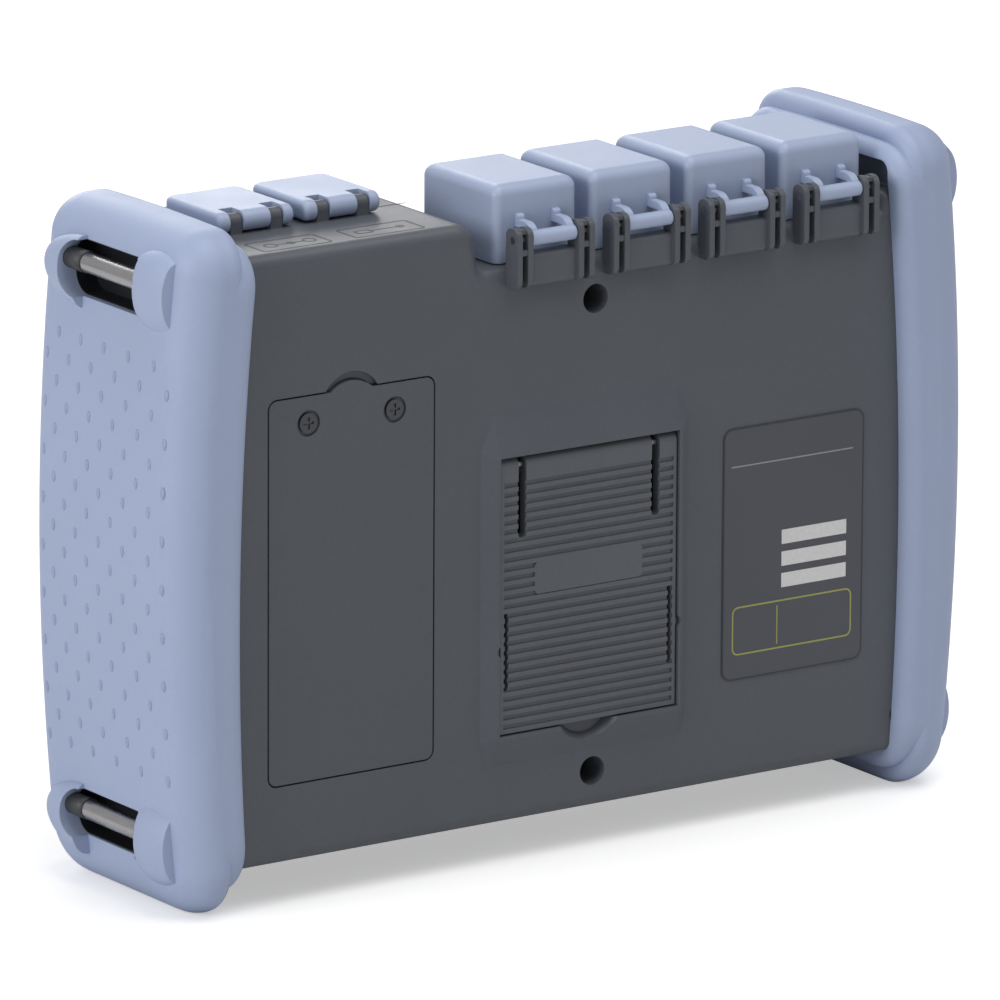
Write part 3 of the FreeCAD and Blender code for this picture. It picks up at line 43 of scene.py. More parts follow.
# ------------------------------------------------------------------ places read from the model's parts
bumper_low, bumper_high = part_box("left_bumper")
rear_low, rear_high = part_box("rear_casing")
label_low, label_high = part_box("rating_label")
MID_Z = (bumper_low.z + bumper_high.z) / 2.0
TOP_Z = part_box("front_casing")[1].z


# ------------------------------------------------------------------ materials
NOISE_BAND = (0.3, 0.7)       # noise between these levels is spread over a ramp
CLOUD_SIZE = 35.0 * MM        # faint clouding of moulded colours
FLECK_SIZE = 1.1 * MM
HANDLED_SIZE = 18.0 * MM      # patches where handling has changed the sheen
LINE_BUMP = 0.002 * MM
PRINT_BUMP = 0.002 * MM       # printed films and inks are nearly smooth


def linear(*rgb):
    """Display colour, 0 to 255, as a linear one with alpha."""
    out = []
    for v in rgb:
        v /= 255.0
        out.append(v / 12.92 if v <= 0.04045 else ((v + 0.055) / 1.055) ** 2.4)
    return tuple(out) + (1.0,)


def scaled(color, k):
    return tuple(min(1.0, c * k) for c in color[:3]) + (1.0,)


class Maker:
    """Shorthand for a node tree."""

    def __init__(self, name):
        self.mat = bpy.data.materials.new(name)
        self.mat.use_nodes = True
        self.tree = self.mat.node_tree
        self.tree.nodes.clear()
        self.out = self.add("ShaderNodeOutputMaterial")
        self.shader = self.add("ShaderNodeBsdfPrincipled")
        self.link(self.shader, "BSDF", self.out, "Surface")
        self.coords = self.add("ShaderNodeTexCoord")

    def add(self, kind, **settings):
        node = self.tree.nodes.new(kind)
        for key, value in settings.items():
            setattr(node, key, value)
        return node

    def link(self, a, a_name, b, b_name):
        self.tree.links.new(a.outputs[a_name], b.inputs[b_name])

    def noise(self, size, detail=2.0, stretch=(1.0, 1.0, 1.0), rough=0.5):
        """Noise whose features are about size metres across."""
        mapping = self.add("ShaderNodeMapping")
        mapping.inputs["Scale"].default_value = stretch
        self.link(self.coords, "Object", mapping, "Vector")
        node = self.add("ShaderNodeTexNoise")
        node.inputs["Scale"].default_value = 1.0 / size
        node.inputs["Detail"].default_value = detail
        node.inputs["Roughness"].default_value = rough
        self.link(mapping, "Vector", node, "Vector")
        return node

    def ramp(self, source, output, low, high, a, b):
        """Maps source between two input levels to colours or greys a and b."""
        node = self.add("ShaderNodeValToRGB")
        node.color_ramp.elements[0].position = low
        node.color_ramp.elements[1].position = high
        node.color_ramp.elements[0].color = a
        node.color_ramp.elements[1].color = b
        self.link(source, output, node, "Fac")
        return node

    def levels(self, source, output, low, high):
        node = self.add("ShaderNodeMapRange")
        node.inputs["From Min"].default_value = NOISE_BAND[0]
        node.inputs["From Max"].default_value = NOISE_BAND[1]
        node.inputs["To Min"].default_value = low
        node.inputs["To Max"].default_value = high
        self.link(source, output, node, "Value")
        return node

    def bump(self, source, output, height, strength=1.0, edge=0.0):
        node = self.add("ShaderNodeBump")
        node.inputs["Strength"].default_value = strength
        node.inputs["Distance"].default_value = height
        self.link(source, output, node, "Height")
        if edge:
            bevel = self.add("ShaderNodeBevel", samples=4)
            bevel.inputs["Radius"].default_value = edge
            self.link(bevel, "Normal", node, "Normal")
        self.link(node, "Normal", self.shader, "Normal")
        return node

    def set(self, **values):
        for key, value in values.items():
            self.shader.inputs[key.replace("_", " ")].default_value = value


def moulded(name, color, rough, vary=0.04, grain=0.45 * MM, depth=0.012 * MM, edge=0.25 * MM,
            flecks=0.05, **extra):
    """Moulded plastic or rubber: clouded colour, fine spark texture, softened edges, worn sheen."""
    m = Maker(name)
    cloud = m.noise(CLOUD_SIZE, 4.0)
    tint = m.ramp(cloud, "Fac", *NOISE_BAND, scaled(color, 1.0 - vary), scaled(color, 1.0 + vary))
    speck = m.noise(FLECK_SIZE, 3.0, rough=0.7)
    fleck = m.ramp(speck, "Fac", 0.45, 0.62, (0, 0, 0, 1), (1, 1, 1, 1))
    mix = m.add("ShaderNodeMix", data_type="RGBA", blend_type="MULTIPLY")
    mix.inputs["Factor"].default_value = flecks
    m.tree.links.new(tint.outputs["Color"], mix.inputs["A"])
    m.tree.links.new(fleck.outputs["Color"], mix.inputs["B"])
    m.tree.links.new(mix.outputs["Result"], m.shader.inputs["Base Color"])
    handled = m.noise(HANDLED_SIZE, 5.0, rough=0.6)
    m.link(m.levels(handled, "Fac", rough - 0.05, rough + 0.05), "Result", m.shader, "Roughness")
    m.bump(m.noise(grain, 2.0), "Fac", depth, 0.8, edge)
    m.set(**extra)
    return m.mat


def metal(name, color, rough, stretch=(1.0, 1.0, 0.05), grain=0.3 * MM):
    """Drawn or turned metal: fine lines along the stretch, smeared roughness."""
    m = Maker(name)
    lines = m.noise(grain, 2.0, stretch)
    tint = m.ramp(lines, "Fac", *NOISE_BAND, scaled(color, 0.94), scaled(color, 1.05))
    m.link(tint, "Color", m.shader, "Base Color")
    m.link(m.levels(lines, "Fac", rough - 0.03, rough + 0.05), "Result", m.shader, "Roughness")
    m.bump(lines, "Fac", LINE_BUMP, 0.4)
    m.set(Metallic=1.0)
    return m.mat


def board(name):
    """Solder mask over copper tracks, with pads."""
    m = Maker(name)
    brick = m.add("ShaderNodeTexBrick", offset=0.5)
    mapping = m.add("ShaderNodeMapping")
    mapping.inputs["Rotation"].default_value = (math.pi / 2.0, 0.0, 0.0)
    m.link(m.coords, "Object", mapping, "Vector")
    m.link(mapping, "Vector", brick, "Vector")
    brick.inputs["Scale"].default_value = 160.0
    brick.inputs["Mortar Size"].default_value = 0.03
    brick.inputs["Color1"].default_value = linear(22, 84, 56)
    brick.inputs["Color2"].default_value = linear(26, 96, 62)
    brick.inputs["Mortar"].default_value = linear(58, 132, 84)
    m.link(brick, "Color", m.shader, "Base Color")
    grain = m.noise(2.0 * MM, 3.0)
    m.link(m.levels(grain, "Fac", 0.3, 0.42), "Result", m.shader, "Roughness")
    m.bump(brick, "Fac", 0.03 * MM, 0.5)
    return m.mat


GREY = linear(87, 91, 98)
BLUE = linear(161, 174, 204)
CAP_BLUE = linear(165, 178, 206)

MATERIALS = {
    "casing": moulded("casing_grey", GREY, 0.42, edge=0.3 * MM, Specular_IOR_Level=0.4),
    "stand": moulded("stand_grey", linear(89, 93, 99), 0.46, grain=0.35 * MM, edge=0.12 * MM),
    "door": moulded("door_grey", linear(86, 90, 97), 0.43, edge=0.2 * MM, Specular_IOR_Level=0.4),
    "bumper": moulded("bumper_blue", BLUE, 0.5, 0.025, 0.6 * MM, 0.008 * MM, 0.4 * MM, 0.02),
    # painted shade: the pips are a darker blue than the bumper
    "dots": moulded("bumper_dots_painted_shade_blue", linear(150, 163, 196), 0.45, 0.03, 0.4 * MM, edge=0.0),
    "cap": moulded("cap_blue", CAP_BLUE, 0.42, 0.025, 0.5 * MM, 0.008 * MM, 0.3 * MM, 0.02),
    "key": moulded("key_grey", linear(64, 68, 78), 0.38, edge=0.15 * MM),
    "power_key": moulded("key_green", linear(62, 128, 92), 0.38, edge=0.15 * MM),
    "black": moulded("socket_black", linear(26, 26, 29), 0.4, edge=0.1 * MM),
    # painted shade: black for the shade deep inside the strap slots
    "slot_shade": moulded("slot_painted_shade", linear(20, 22, 28), 0.55, edge=0.0),
    # painted shade: dark ring for the shadow on the pins' front ends
    "sleeve": moulded("pin_end_painted_shade", linear(58, 60, 63), 0.5, edge=0.0),
    "battery": moulded("battery_black", linear(38, 39, 44), 0.3, grain=1.6 * MM),
    "gasket": moulded("gasket_black", linear(24, 24, 26), 0.7),
    "label": moulded("label_film", linear(76, 78, 86), 0.4, 0.03, 0.8 * MM, PRINT_BUMP, 0.0, 0.03),
    "field": moulded("label_field", linear(222, 221, 222), 0.45, 0.02, depth=PRINT_BUMP, edge=0.0),
    "rule": moulded("label_rule", linear(150, 151, 155), 0.45, 0.02, depth=PRINT_BUMP, edge=0.0),
    "notice": moulded("label_notice_line", linear(158, 160, 84), 0.45, 0.03, depth=PRINT_BUMP,
                      edge=0.0),
    # painted shade: dark line for the shade in the groove round the label
    "groove_shade": moulded("label_edge_painted_shade", linear(52, 54, 60), 0.5, 0.03, depth=PRINT_BUMP, edge=0.0),
    "ink": moulded("print_ink", linear(66, 66, 68), 0.6, depth=0.003 * MM, edge=0.0),
    "pale_ink": moulded("key_print", linear(214, 218, 226), 0.4, depth=0.003 * MM, edge=0.0),
    "seam": moulded("seam_shadow", linear(34, 35, 39), 0.7, depth=0.01 * MM, edge=0.0),
    "ceramic": moulded("sleeve_ceramic", linear(232, 230, 224), 0.15, depth=PRINT_BUMP, edge=0.0),
    "lamp": moulded("lamp_clear", linear(150, 176, 158), 0.2, depth=0.004 * MM, edge=0.0),
    "steel": metal("pin_steel", linear(178, 176, 178), 0.28, (1.0, 0.05, 1.0)),
    "pin_x": metal("pin_steel_across", linear(160, 160, 163), 0.32, (0.05, 1.0, 1.0)),
    "screw": metal("screw_steel", linear(88, 89, 94), 0.36, (1.0, 1.0, 1.0), 0.8 * MM),
    "plated": metal("adapter_plated", linear(196, 197, 200), 0.25),
    "socket_metal": metal("socket_sheet", linear(188, 189, 192), 0.24),
    "panel": metal("panel_sheet", linear(150, 152, 156), 0.35, (0.1, 1.0, 1.0)),
    "board": board("circuit_board"),
}


def screen_glass():
    m = Maker("screen_glass")
    smear = m.noise(12.0 * MM, 5.0, rough=0.65)
    m.link(m.levels(smear, "Fac", 0.04, 0.1), "Result", m.shader, "Roughness")
    tint = m.ramp(smear, "Fac", *NOISE_BAND, linear(16, 18, 22), linear(22, 24, 29))
    m.link(tint, "Color", m.shader, "Base Color")
    m.bump(smear, "Fac", LINE_BUMP, 0.3)
    m.set(IOR=1.5, Coat_Weight=0.6, Coat_Roughness=0.03)
    return m.mat


MATERIALS["glass"] = screen_glass()

NODE_MATERIALS = {
    "casing": ["rear_casing", "front_casing"],
    "stand": ["stand_flap"],
    "door": ["battery_door"],
    "bumper": ["left_bumper", "right_bumper"],
    "cap": ["port_cap_1", "port_cap_2", "port_cap_3", "port_cap_4", "socket_cap_1", "socket_cap_2"],
    "steel": ["strap_pins"],
    "pin_x": ["stand_pin", "port_cap_pins", "socket_cap_pins"],
    "screw": ["door_screws", "casing_screws", "adapter_screws", "board_standoffs"],
    "plated": ["optical_adapter_1", "optical_adapter_2", "optical_adapter_3", "optical_adapter_4"],
    "ceramic": ["ferrule_sleeves"],
    "black": ["power_jack", "battery_contacts"],
    "socket_metal": ["data_socket"],
    "battery": ["battery_pack"],
    "label": ["rating_label"],
    "gasket": ["seam_gasket"],
    "glass": ["screen_glass"],
    "panel": ["display_panel", "optical_module"],
    "board": ["main_board", "key_board"],
    "lamp": ["status_lamps"],
    "key": ["key_start", "key_enter", "key_up", "key_down", "key_left", "key_right", "key_menu",
            "key_back"],
    "power_key": ["key_power"],
}
for slot_name, members in NODE_MATERIALS.items():
    for member in members:
        node_slots = nodes[member].material_slots
        if node_slots:
            for entry in node_slots:
                entry.material = MATERIALS[slot_name]
        else:
            nodes[member].data.materials.append(MATERIALS[slot_name])


# ------------------------------------------------------------------ mesh helpers
def piece(name, mesh, material, body):
    obj = bpy.data.objects.new(name, mesh)
    bpy.context.scene.collection.objects.link(obj)
    mesh.materials.append(MATERIALS[material])
    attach(obj, body)
    return obj


def finish_mesh(name, bm, smooth=True):
    bmesh.ops.recalc_face_normals(bm, faces=bm.faces)
    mesh = bpy.data.meshes.new(name)
    bm.to_mesh(mesh)
    bm.free()
    for polygon in mesh.polygons:
        polygon.use_smooth = smooth
    return mesh


def slab(bm, outline, lift):
    """A thin solid from a closed outline of points, extruded by the lift vector."""
    low = [bm.verts.new(p) for p in outline]
    high = [bm.verts.new(Vector(p) + lift) for p in outline]
    bm.faces.new(low)
    bm.faces.new(high)
    count = len(outline)
    for i in range(count):
        j = (i + 1) % count
        bm.faces.new((low[i], low[j], high[j], high[i]))


def ring(bm, outer, inner, lift):
    """A thin frame between two outlines with the same number of points."""
    rows = [[bm.verts.new(p) for p in outer], [bm.verts.new(p) for p in inner]]
    rows += [[bm.verts.new(Vector(p) + lift) for p in side] for side in (inner, outer)]
    count = len(outer)
    for k in range(4):
        a, b = rows[k], rows[(k + 1) % 4]
        for i in range(count):
            j = (i + 1) % count
            bm.faces.new((a[i], a[j], b[j], b[i]))


def rounded_points(u, v, radius, place, steps=6):
    """Outline of a rounded rectangle over two (low, high) spans, placed by a function of u and v."""
    points = []
    corners = [(u[1] - radius, v[1] - radius, 0.0), (u[0] + radius, v[1] - radius, 90.0),
               (u[0] + radius, v[0] + radius, 180.0), (u[1] - radius, v[0] + radius, 270.0)]
    for cu, cv, start in corners:
        for k in range(steps + 1):
            a = math.radians(start + 90.0 * k / steps)
            points.append(place(cu + radius * math.cos(a), cv + radius * math.sin(a)))
    return points


def circle_points(u, v, radius, place, steps=32):
    return [place(u + radius * math.cos(2.0 * math.pi * k / steps),
                  v + radius * math.sin(2.0 * math.pi * k / steps)) for k in range(steps)]


def around(middle, half):
    """The (low, high) span about a middle."""
    return middle - half, middle + half


class Print:
    """Flat marks on one plane, gathered into one mesh."""

    def __init__(self, place, lift):
        self.bm = bmesh.new()
        self.place = place
        self.lift = lift

    def bar(self, u, v):
        corners = ((u[0], v[0]), (u[1], v[0]), (u[1], v[1]), (u[0], v[1]))
        slab(self.bm, [self.place(*corner) for corner in corners], self.lift)

    def frame(self, u, v, radius, line):
        outer = rounded_points(u, v, radius, self.place)
        inner = rounded_points((u[0] + line, u[1] - line), (v[0] + line, v[1] - line),
                               radius - line, self.place)
        ring(self.bm, outer, inner, self.lift)

    def pill(self, u, v, radius):
        slab(self.bm, rounded_points(u, v, radius, self.place), self.lift)

    def disc(self, u, v, radius, steps):
        slab(self.bm, circle_points(u, v, radius, self.place, steps), self.lift)

    def circle(self, u, v, outer, inner, steps=32):
        ring(self.bm, circle_points(u, v, outer, self.place, steps),
             circle_points(u, v, inner, self.place, steps), self.lift)

    def shape(self, outline):
        slab(self.bm, [self.place(*point) for point in outline], self.lift)

    def finish(self, name, material, body, record_slot):
        return piece(name, finish_mesh(name, self.bm, False), material, body)


# ------------------------------------------------------------------ bumper dots
FACE_X = 126.5 * MM
FACE_CROWN_R = 760.0 * MM
FACE_CORNER_Y = 26.2 * MM      # the faces turn over a 10.5 mm edge from here
FACE_CORNER_R = 10.5 * MM
DOT_ROWS = 18
DOT_LOW_Z = 37.8 * MM
DOT_ROW_PITCH = 6.394 * MM
DOT_COLUMNS = 10
DOT_FIRST_Y = -22.5 * MM
DOT_COLUMN_PITCH = 5.05 * MM
DOT_COLUMN_SPREAD = 0.07 * MM  # the columns draw apart towards the back
DOT_HALF = (0.85 * MM, 1.6 * MM)
DOT_OUT = 0.42 * MM
DOT_SINK = 0.05 * MM


def face_x(y, z):
    over = max(0.0, abs(y) - FACE_CORNER_Y)
    turn = FACE_CORNER_R - math.sqrt(FACE_CORNER_R ** 2 - over ** 2)
    return FACE_X - (z - MID_Z) ** 2 / (2.0 * FACE_CROWN_R) - turn


def dot(bm, side, y, z, rings=4, steps=12):
    """A low elongated pip on the bumper's crowned face, closed at its sunk foot."""
    rows = []
    for k in range(rings):
        a = math.pi / 2.0 * k / rings
        row = []
        for i in range(steps):
            t = 2.0 * math.pi * i / steps
            dy = DOT_HALF[0] * math.cos(a) * math.cos(t)
            dz = DOT_HALF[1] * math.cos(a) * math.sin(t)
            out = face_x(y + dy, z + dz) + DOT_OUT * math.sin(a) - DOT_SINK
            row.append(bm.verts.new((side * out, y + dy, z + dz)))
        rows.append(row)
    tip = bm.verts.new((side * (face_x(y, z) + DOT_OUT - DOT_SINK), y, z))
    for k in range(rings - 1):
        for i in range(steps):
            j = (i + 1) % steps
            bm.faces.new((rows[k][i], rows[k][j], rows[k + 1][j], rows[k + 1][i]))
    for i in range(steps):
        bm.faces.new((rows[-1][i], rows[-1][(i + 1) % steps], tip))
    bm.faces.new(rows[0])


def bumper_dots(side, name):
    bm = bmesh.new()
    for row in range(DOT_ROWS):
        first = -1 if row % 2 == 0 else 0
        for column in range(first, DOT_COLUMNS, 2):
            spread = DOT_COLUMN_SPREAD * column * abs(column)
            y = DOT_FIRST_Y + DOT_COLUMN_PITCH * column + spread
            dot(bm, side, y, DOT_LOW_Z + row * DOT_ROW_PITCH)
    piece(name, finish_mesh(name, bm), "dots", CASING)


bumper_dots(1.0, "bumper_dots_left")
bumper_dots(-1.0, "bumper_dots_right")

# ------------------------------------------------------------------ painted shade: black lining inside the strap slots and dark rings on the pins' front ends
SLOT_Y = (-18.2 * MM, 14.6 * MM)
SLOT_Z = {"low": (13.7 * MM, 26.3 * MM), "top": (157.9 * MM, 172.7 * MM)}
SLOT_R = 5.6 * MM
PIN_X = 123.2 * MM
PIN_Z = {"low": 21.1 * MM, "top": 167.1 * MM}
PIN_R = 2.7 * MM
SLOT_SHADE_X = (rear_high.x + 0.05 * MM, 121.9 * MM)
SLOT_SHADE_WALL = 0.3 * MM
SLOT_SHADE_STEPS = 8
SKIN_GAP = 0.02 * MM          # between a painted-shade lining or ring and the piece it lies on
PIN_SHADE_WALL = 0.25 * MM
PIN_SHADE_LENGTH = 7.6 * MM


def slot_outline(z, shrink, x):
    """The slot's outline at x, round at its front end and square at the other."""
    y0, y1 = SLOT_Y[0] + shrink, SLOT_Y[1] - shrink
    z0, z1 = z[0] + shrink, z[1] - shrink
    radius = SLOT_R - shrink
    points = [Vector((x, y1, z0)), Vector((x, y1, z1))]
    for cz, start in ((z1 - radius, 90.0), (z0 + radius, 180.0)):
        for k in range(SLOT_SHADE_STEPS + 1):
            a = math.radians(start + 90.0 * k / SLOT_SHADE_STEPS)
            points.append(Vector((x, y0 + radius + radius * math.cos(a), cz + radius * math.sin(a))))
    return points


# Painted shade: a black shell and back plate inside the slot, standing for the shade deep in it.
def slot_shade_shell(side, hand, end):
    name = "slot_lining_%s_%s" % (hand, end)
    z = SLOT_Z[end]
    x0, x1 = side * SLOT_SHADE_X[0], side * SLOT_SHADE_X[1]
    bm = bmesh.new()
    ring(bm, slot_outline(z, SKIN_GAP, x0), slot_outline(z, SLOT_SHADE_WALL, x0),
         Vector((x1 - x0, 0.0, 0.0)))
    slab(bm, slot_outline(z, SLOT_SHADE_WALL / 2.0, x0), Vector((side * SLOT_SHADE_WALL, 0.0, 0.0)))
    piece(name, finish_mesh(name, bm, False), "slot_shade", CASING)


def pin_end_shade_ring(side, hand, end):
    """Dark ring round the front end of a strap pin: painted shade where that end lies in shadow."""
    name = "pin_sleeve_%s_%s" % (hand, end)

    def at_end(u, v):
        return Vector((side * u, SLOT_Y[0] + SLOT_SHADE_WALL, v))

    bm = bmesh.new()
    ring(bm, circle_points(PIN_X, PIN_Z[end], PIN_R + PIN_SHADE_WALL, at_end),
         circle_points(PIN_X, PIN_Z[end], PIN_R + SKIN_GAP, at_end),
         Vector((0.0, PIN_SHADE_LENGTH, 0.0)))
    piece(name, finish_mesh(name, bm), "sleeve", CASING)


for hand, side in (("left", 1.0), ("right", -1.0)):
    for end in ("low", "top"):
        slot_shade_shell(side, hand, end)
        pin_end_shade_ring(side, hand, end)

# ------------------------------------------------------------------ seam and printed frames on the top
DECK_Z = TOP_Z - 13.0 * MM
TOP_SEAM_X = (32.6 * MM, 104.0 * MM)
DECK_SEAM_X = (-98.0 * MM, 27.6 * MM)
SEAM_Y = rear_low.y
SEAM_HALF = 0.25 * MM
PRINT_LIFT = 0.03 * MM
FRAME_XS = ((43.6 * MM, 65.7 * MM), (72.3 * MM, 94.0 * MM))
FRAME_Y = (16.8 * MM, 27.4 * MM)
FRAME_R = 1.6 * MM
FRAME_LINE = 0.8 * MM
SYMBOL_Y = 22.2 * MM          # middle line of both symbols
SYMBOL_LINE = 0.3 * MM        # half width of their strokes
SYMBOL_STEPS = 24
POLE_XS = (76.7 * MM, 88.6 * MM)
POLE_R = (2.0 * MM, 1.3 * MM)
POLE_DOT_X = 82.4 * MM
POLE_LINK_XS = (79.9 * MM, 85.1 * MM)
POLE_LINK_HALF = 1.3 * MM
PLUG_X = (57.5 * MM, 62.5 * MM)
PLUG_HALF = 1.7 * MM
PLUG_R = 0.9 * MM
PLUG_LINE = 0.6 * MM
PLUG_CORE_R = 0.4 * MM
WIRE_X = (50.0 * MM, 57.5 * MM)
WIRE_DOT_X = 48.7 * MM
SYMBOL_DOT_R = 1.3 * MM


def on_top(u, v):
    return Vector((u, v, TOP_Z))


def seam_strip():
    bm = bmesh.new()
    for x, z in ((TOP_SEAM_X, TOP_Z), (DECK_SEAM_X, DECK_Z)):
        y = around(SEAM_Y, SEAM_HALF)
        slab(bm, [(x[0], y[0], z), (x[1], y[0], z), (x[1], y[1], z), (x[0], y[1], z)],
             Z * PRINT_LIFT)
    piece("seam_line", finish_mesh("seam_line", bm, False), "seam", CASING)


def icon_frames():
    """Outlined panels printed beside the electrical sockets, each with a plain symbol."""
    ink = Print(on_top, Z * PRINT_LIFT)
    stroke = around(SYMBOL_Y, SYMBOL_LINE)
    for x in FRAME_XS:
        ink.frame(x, FRAME_Y, FRAME_R, FRAME_LINE)
    for x in POLE_XS:
        ink.circle(x, SYMBOL_Y, *POLE_R, SYMBOL_STEPS)
    ink.disc(POLE_DOT_X, SYMBOL_Y, SYMBOL_DOT_R, SYMBOL_STEPS)
    for x in POLE_LINK_XS:
        ink.bar(around(x, POLE_LINK_HALF), stroke)
    plug_y = around(SYMBOL_Y, PLUG_HALF)
    core = rounded_points((PLUG_X[0] + PLUG_LINE, PLUG_X[1] - PLUG_LINE),
                          (plug_y[0] + PLUG_LINE, plug_y[1] - PLUG_LINE), PLUG_CORE_R, on_top)
    ring(ink.bm, rounded_points(PLUG_X, plug_y, PLUG_R, on_top), core, ink.lift)
    ink.bar(WIRE_X, stroke)
    ink.disc(WIRE_DOT_X, SYMBOL_Y, SYMBOL_DOT_R, SYMBOL_STEPS)
    ink.finish("icon_frames", "ink", CASING, "casing_plastic")


seam_strip()
icon_frames()

# ------------------------------------------------------------------ blank label
LABEL_EDGE_R = 3.0 * MM
LABEL_LINE = 0.45 * MM
FIELD_X = (-88.2 * MM, -67.1 * MM)
FIELD_ZS = ((73.95 * MM, 77.85 * MM), (67.95 * MM, 71.9 * MM), (62.1 * MM, 66.0 * MM))
RULE_X = (-90.1 * MM, -50.6 * MM)
RULE_Z = (96.9 * MM, 97.25 * MM)
NOTICE_X = (-90.15 * MM, -51.15 * MM)
NOTICE_Z = (45.5 * MM, 58.8 * MM)
NOTICE_R = 2.0 * MM
DIVIDER_X = (-66.0 * MM, -65.65 * MM)
DIVIDER_Z = (46.9 * MM, 57.4 * MM)


def on_label(u, v):
    return Vector((u, label_high.y, v))


def label_print():
    """The label's edge as a dark line of painted shade for the groove round it, three light fields, a
    rule and an empty outlined notice.
    """
    lift = Vector((0.0, PRINT_LIFT, 0.0))
    edge, fields, rule, notice = (Print(on_label, lift) for _ in range(4))
    edge.frame((label_low.x, label_high.x), (label_low.z, label_high.z), LABEL_EDGE_R, LABEL_LINE)
    for z in FIELD_ZS:
        fields.bar(FIELD_X, z)
    rule.bar(RULE_X, RULE_Z)
    notice.frame(NOTICE_X, NOTICE_Z, NOTICE_R, LABEL_LINE)
    notice.bar(DIVIDER_X, DIVIDER_Z)
    edge.finish("label_edge", "groove_shade", CASING, "label_film")
    fields.finish("label_fields", "field", CASING, "label_film")
    rule.finish("label_rule", "rule", CASING, "label_film")
    notice.finish("label_notice", "notice", CASING, "label_film")


label_print()

# ------------------------------------------------------------------ key marks
KEY_FRONT_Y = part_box("key_enter")[0].y
ARROW_TURNS = (("key_right", 0.0), ("key_up", 90.0), ("key_left", 180.0), ("key_down", 270.0))
ARROW_SIZE = 1.5 * MM
ARROW_ANGLES = (0.0, 130.0, 230.0)
ENTER_R = (2.2 * MM, 1.8 * MM)
START_HALF = (5.0 * MM, 0.4 * MM)
START_R = 0.35 * MM
MENU_HALF = (2.0 * MM, 0.2 * MM)
MENU_PITCH = 1.3 * MM
MENU_R = 0.15 * MM
BACK_HALF = 2.2 * MM          # half length of the arrow
BACK_HEAD_X = 0.4 * MM        # its head ends this far before the middle
BACK_HEAD_HALF = 1.4 * MM
BACK_SHAFT_HALF = 0.35 * MM
POWER_R = (2.3 * MM, 1.85 * MM)
POWER_ARC = (125.0, 290.0)    # start and sweep, in degrees
POWER_STEPS = 24
POWER_BAR_HALF = 0.22 * MM
POWER_BAR_Z = (0.4 * MM, 2.7 * MM)


def on_key(u, v):
    return Vector((u, KEY_FRONT_Y - PRINT_LIFT, v))


def key_print(name):
    """A print on the named key and the middle of that key."""
    low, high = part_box(name)
    return (Print(on_key, Vector((0.0, PRINT_LIFT, 0.0))),
            (low.x + high.x) / 2.0, (low.z + high.z) / 2.0)


def finish_key(mark, name):
    mark.finish(name + "_mark", "pale_ink", name, "key_plastic")


def key_marks():
    for name, turn in ARROW_TURNS:
        mark, x, z = key_print(name)
        tip = []
        for a in ARROW_ANGLES:
            angle = math.radians(turn + a)
            tip.append((x + ARROW_SIZE * math.cos(angle), z + ARROW_SIZE * math.sin(angle)))
        mark.shape(tip)
        finish_key(mark, name)
    mark, x, z = key_print("key_enter")
    mark.circle(x, z, *ENTER_R)
    finish_key(mark, "key_enter")
    mark, x, z = key_print("key_start")
    mark.pill(around(x, START_HALF[0]), around(z, START_HALF[1]), START_R)
    finish_key(mark, "key_start")
    mark, x, z = key_print("key_menu")
    for k in (-1, 0, 1):
        mark.pill(around(x, MENU_HALF[0]), around(z + k * MENU_PITCH, MENU_HALF[1]), MENU_R)
    finish_key(mark, "key_menu")
    mark, x, z = key_print("key_back")
    neck = x - BACK_HEAD_X
    mark.shape([(x - BACK_HALF, z), (neck, z + BACK_HEAD_HALF), (neck, z + BACK_SHAFT_HALF),
                (x + BACK_HALF, z + BACK_SHAFT_HALF), (x + BACK_HALF, z - BACK_SHAFT_HALF),
                (neck, z - BACK_SHAFT_HALF), (neck, z - BACK_HEAD_HALF)])
    finish_key(mark, "key_back")
    mark, x, z = key_print("key_power")
    arcs = []
    for radius in POWER_R:
        arc = []
        for k in range(POWER_STEPS + 1):
            a = math.radians(POWER_ARC[0] + POWER_ARC[1] * k / POWER_STEPS)
            arc.append((x + radius * math.cos(a), z + radius * math.sin(a)))
        arcs.append(arc)
    mark.shape(arcs[0] + arcs[1][::-1])
    mark.bar(around(x, POWER_BAR_HALF), (z + POWER_BAR_Z[0], z + POWER_BAR_Z[1]))
    finish_key(mark, "key_power")


key_marks()

# ------------------------------------------------------------------ camera, set from the viewing angle
YAW = math.radians(34.61)
PITCH = math.radians(14.55)
ROLL = math.radians(0.31)
AIM = Vector((21.32, 31.46, 98.56)) * MM
SPAN = 260.0 * MM             # width seen at the aim point
DISTANCE = 3120.0 * MM
SIDEWAYS = 1.586 * MM
SENSOR = 36.0                 # in millimetres, as Blender has it
CLIP = (0.1, 50.0)

level_right = Vector((-math.cos(YAW), math.sin(YAW), 0.0))
level_up = Vector((-math.sin(PITCH) * math.sin(YAW), -math.sin(PITCH) * math.cos(YAW),
                   math.cos(PITCH)))
back = Vector((math.sin(YAW) * math.cos(PITCH), math.cos(YAW) * math.cos(PITCH),
               math.sin(PITCH)))
right = level_right * math.cos(ROLL) + level_up * math.sin(ROLL)
up = level_up * math.cos(ROLL) - level_right * math.sin(ROLL)
camera_data = bpy.data.cameras.new("camera")
camera_data.sensor_width = SENSOR
camera_data.lens = SENSOR * DISTANCE / SPAN
camera_data.clip_start = CLIP[0]
camera_data.clip_end = CLIP[1]
camera = bpy.data.objects.new("camera", camera_data)
bpy.context.scene.collection.objects.link(camera)
rotation = camera.matrix_world.to_3x3()
for row in range(3):
    rotation[row][0] = right[row]
    rotation[row][1] = up[row]
    rotation[row][2] = back[row]
camera.matrix_world = rotation.to_4x4()
camera.location = AIM - right * SIDEWAYS + back * DISTANCE
bpy.context.scene.camera = camera


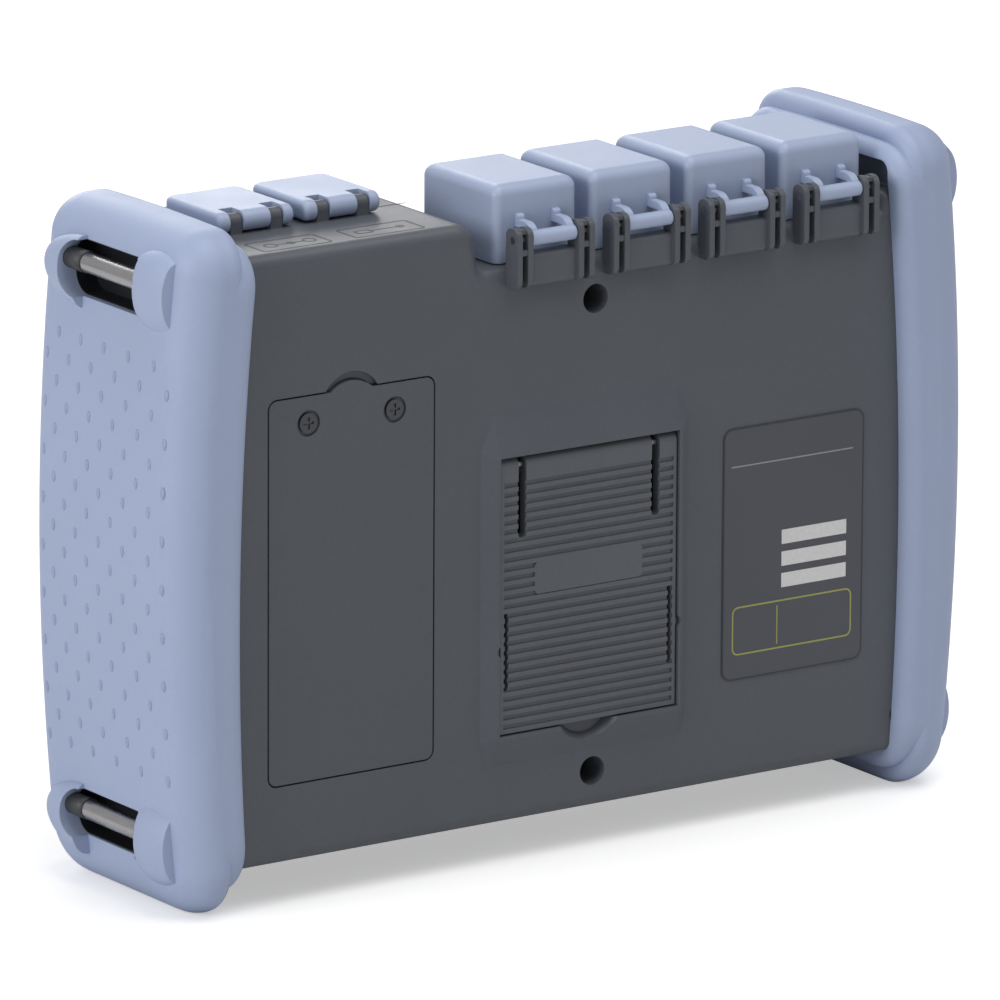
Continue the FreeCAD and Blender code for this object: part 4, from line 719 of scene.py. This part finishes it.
# ------------------------------------------------------------------ floor, world and lamps
FLOOR_HALF = 12.0
FLOOR_DEPTH = 0.02
FLOOR_GREYS = ((0.80, 0.80, 0.80, 1.0), (0.82, 0.82, 0.82, 1.0))
FLOOR_GLOW = 0.42             # seen by the camera only
WORLD_LEVEL = 0.40
WORLD_MIRRORED = 0.62
LAMP_AIM = (0.0, 0.0, 0.1)


def stage_floor():
    bm = bmesh.new()
    low, high = -FLOOR_HALF, FLOOR_HALF
    slab(bm, [(x, y, -FLOOR_DEPTH) for x, y in ((low, low), (high, low), (high, high), (low, high))],
         Z * FLOOR_DEPTH)
    mesh = finish_mesh("floor", bm, False)
    floor = bpy.data.objects.new("floor", mesh)
    bpy.context.scene.collection.objects.link(floor)
    m = Maker("floor_pale")
    cloud = m.noise(0.4, 3.0)
    tint = m.ramp(cloud, "Fac", *NOISE_BAND, *FLOOR_GREYS)
    m.link(tint, "Color", m.shader, "Base Color")
    m.set(Roughness=0.9, Specular_IOR_Level=0.1)
    path = m.add("ShaderNodeLightPath")
    glow = m.add("ShaderNodeEmission")
    glow.inputs["Color"].default_value = (1.0, 1.0, 1.0, 1.0)
    glow.inputs["Strength"].default_value = FLOOR_GLOW
    adder = m.add("ShaderNodeAddShader")
    mixer = m.add("ShaderNodeMixShader")
    m.tree.links.new(m.shader.outputs["BSDF"], adder.inputs[0])
    m.tree.links.new(glow.outputs["Emission"], adder.inputs[1])
    m.tree.links.new(path.outputs["Is Camera Ray"], mixer.inputs["Fac"])
    m.tree.links.new(m.shader.outputs["BSDF"], mixer.inputs[1])
    m.tree.links.new(adder.outputs["Shader"], mixer.inputs[2])
    m.tree.links.new(mixer.outputs["Shader"], m.out.inputs["Surface"])
    mesh.materials.append(m.mat)


stage_floor()


def plain_world():
    """Soft even light that is seen as white behind the object and as a duller grey in reflections."""
    world = bpy.data.worlds.new("studio")
    bpy.context.scene.world = world
    world.use_nodes = True
    tree = world.node_tree
    tree.nodes.clear()
    out = tree.nodes.new("ShaderNodeOutputWorld")
    path = tree.nodes.new("ShaderNodeLightPath")

    def background(strength):
        node = tree.nodes.new("ShaderNodeBackground")
        node.inputs["Strength"].default_value = strength
        return node

    def mixed(ray, a, a_name, b):
        node = tree.nodes.new("ShaderNodeMixShader")
        tree.links.new(path.outputs[ray], node.inputs["Fac"])
        tree.links.new(a.outputs[a_name], node.inputs[1])
        tree.links.new(b.outputs["Background"], node.inputs[2])
        return node

    seen = background(1.0)
    chain = mixed("Is Glossy Ray", background(WORLD_LEVEL), "Background",
                  background(WORLD_MIRRORED))
    chain = mixed("Is Transmission Ray", chain, "Shader", seen)
    chain = mixed("Is Camera Ray", chain, "Shader", seen)
    tree.links.new(chain.outputs["Shader"], out.inputs["Surface"])


plain_world()


def soft_lamp(name, place, size, power):
    data = bpy.data.lights.new(name, "AREA")
    data.shape = "DISK"
    data.size = size
    data.energy = power
    lamp = bpy.data.objects.new(name, data)
    bpy.context.scene.collection.objects.link(lamp)
    lamp.location = place
    direction = Vector(LAMP_AIM) - Vector(place)
    lamp.rotation_mode = "QUATERNION"
    lamp.rotation_quaternion = direction.to_track_quat("-Z", "Y")


soft_lamp("overhead", (-0.15, 0.35, 1.5), 1.4, 12.5)
soft_lamp("end_left", (2.0, 0.2, 0.8), 1.2, 18.0)
soft_lamp("front_fill", (-0.6, -1.8, 0.9), 1.2, 12.0)

bpy.context.scene.view_settings.view_transform = "Standard"
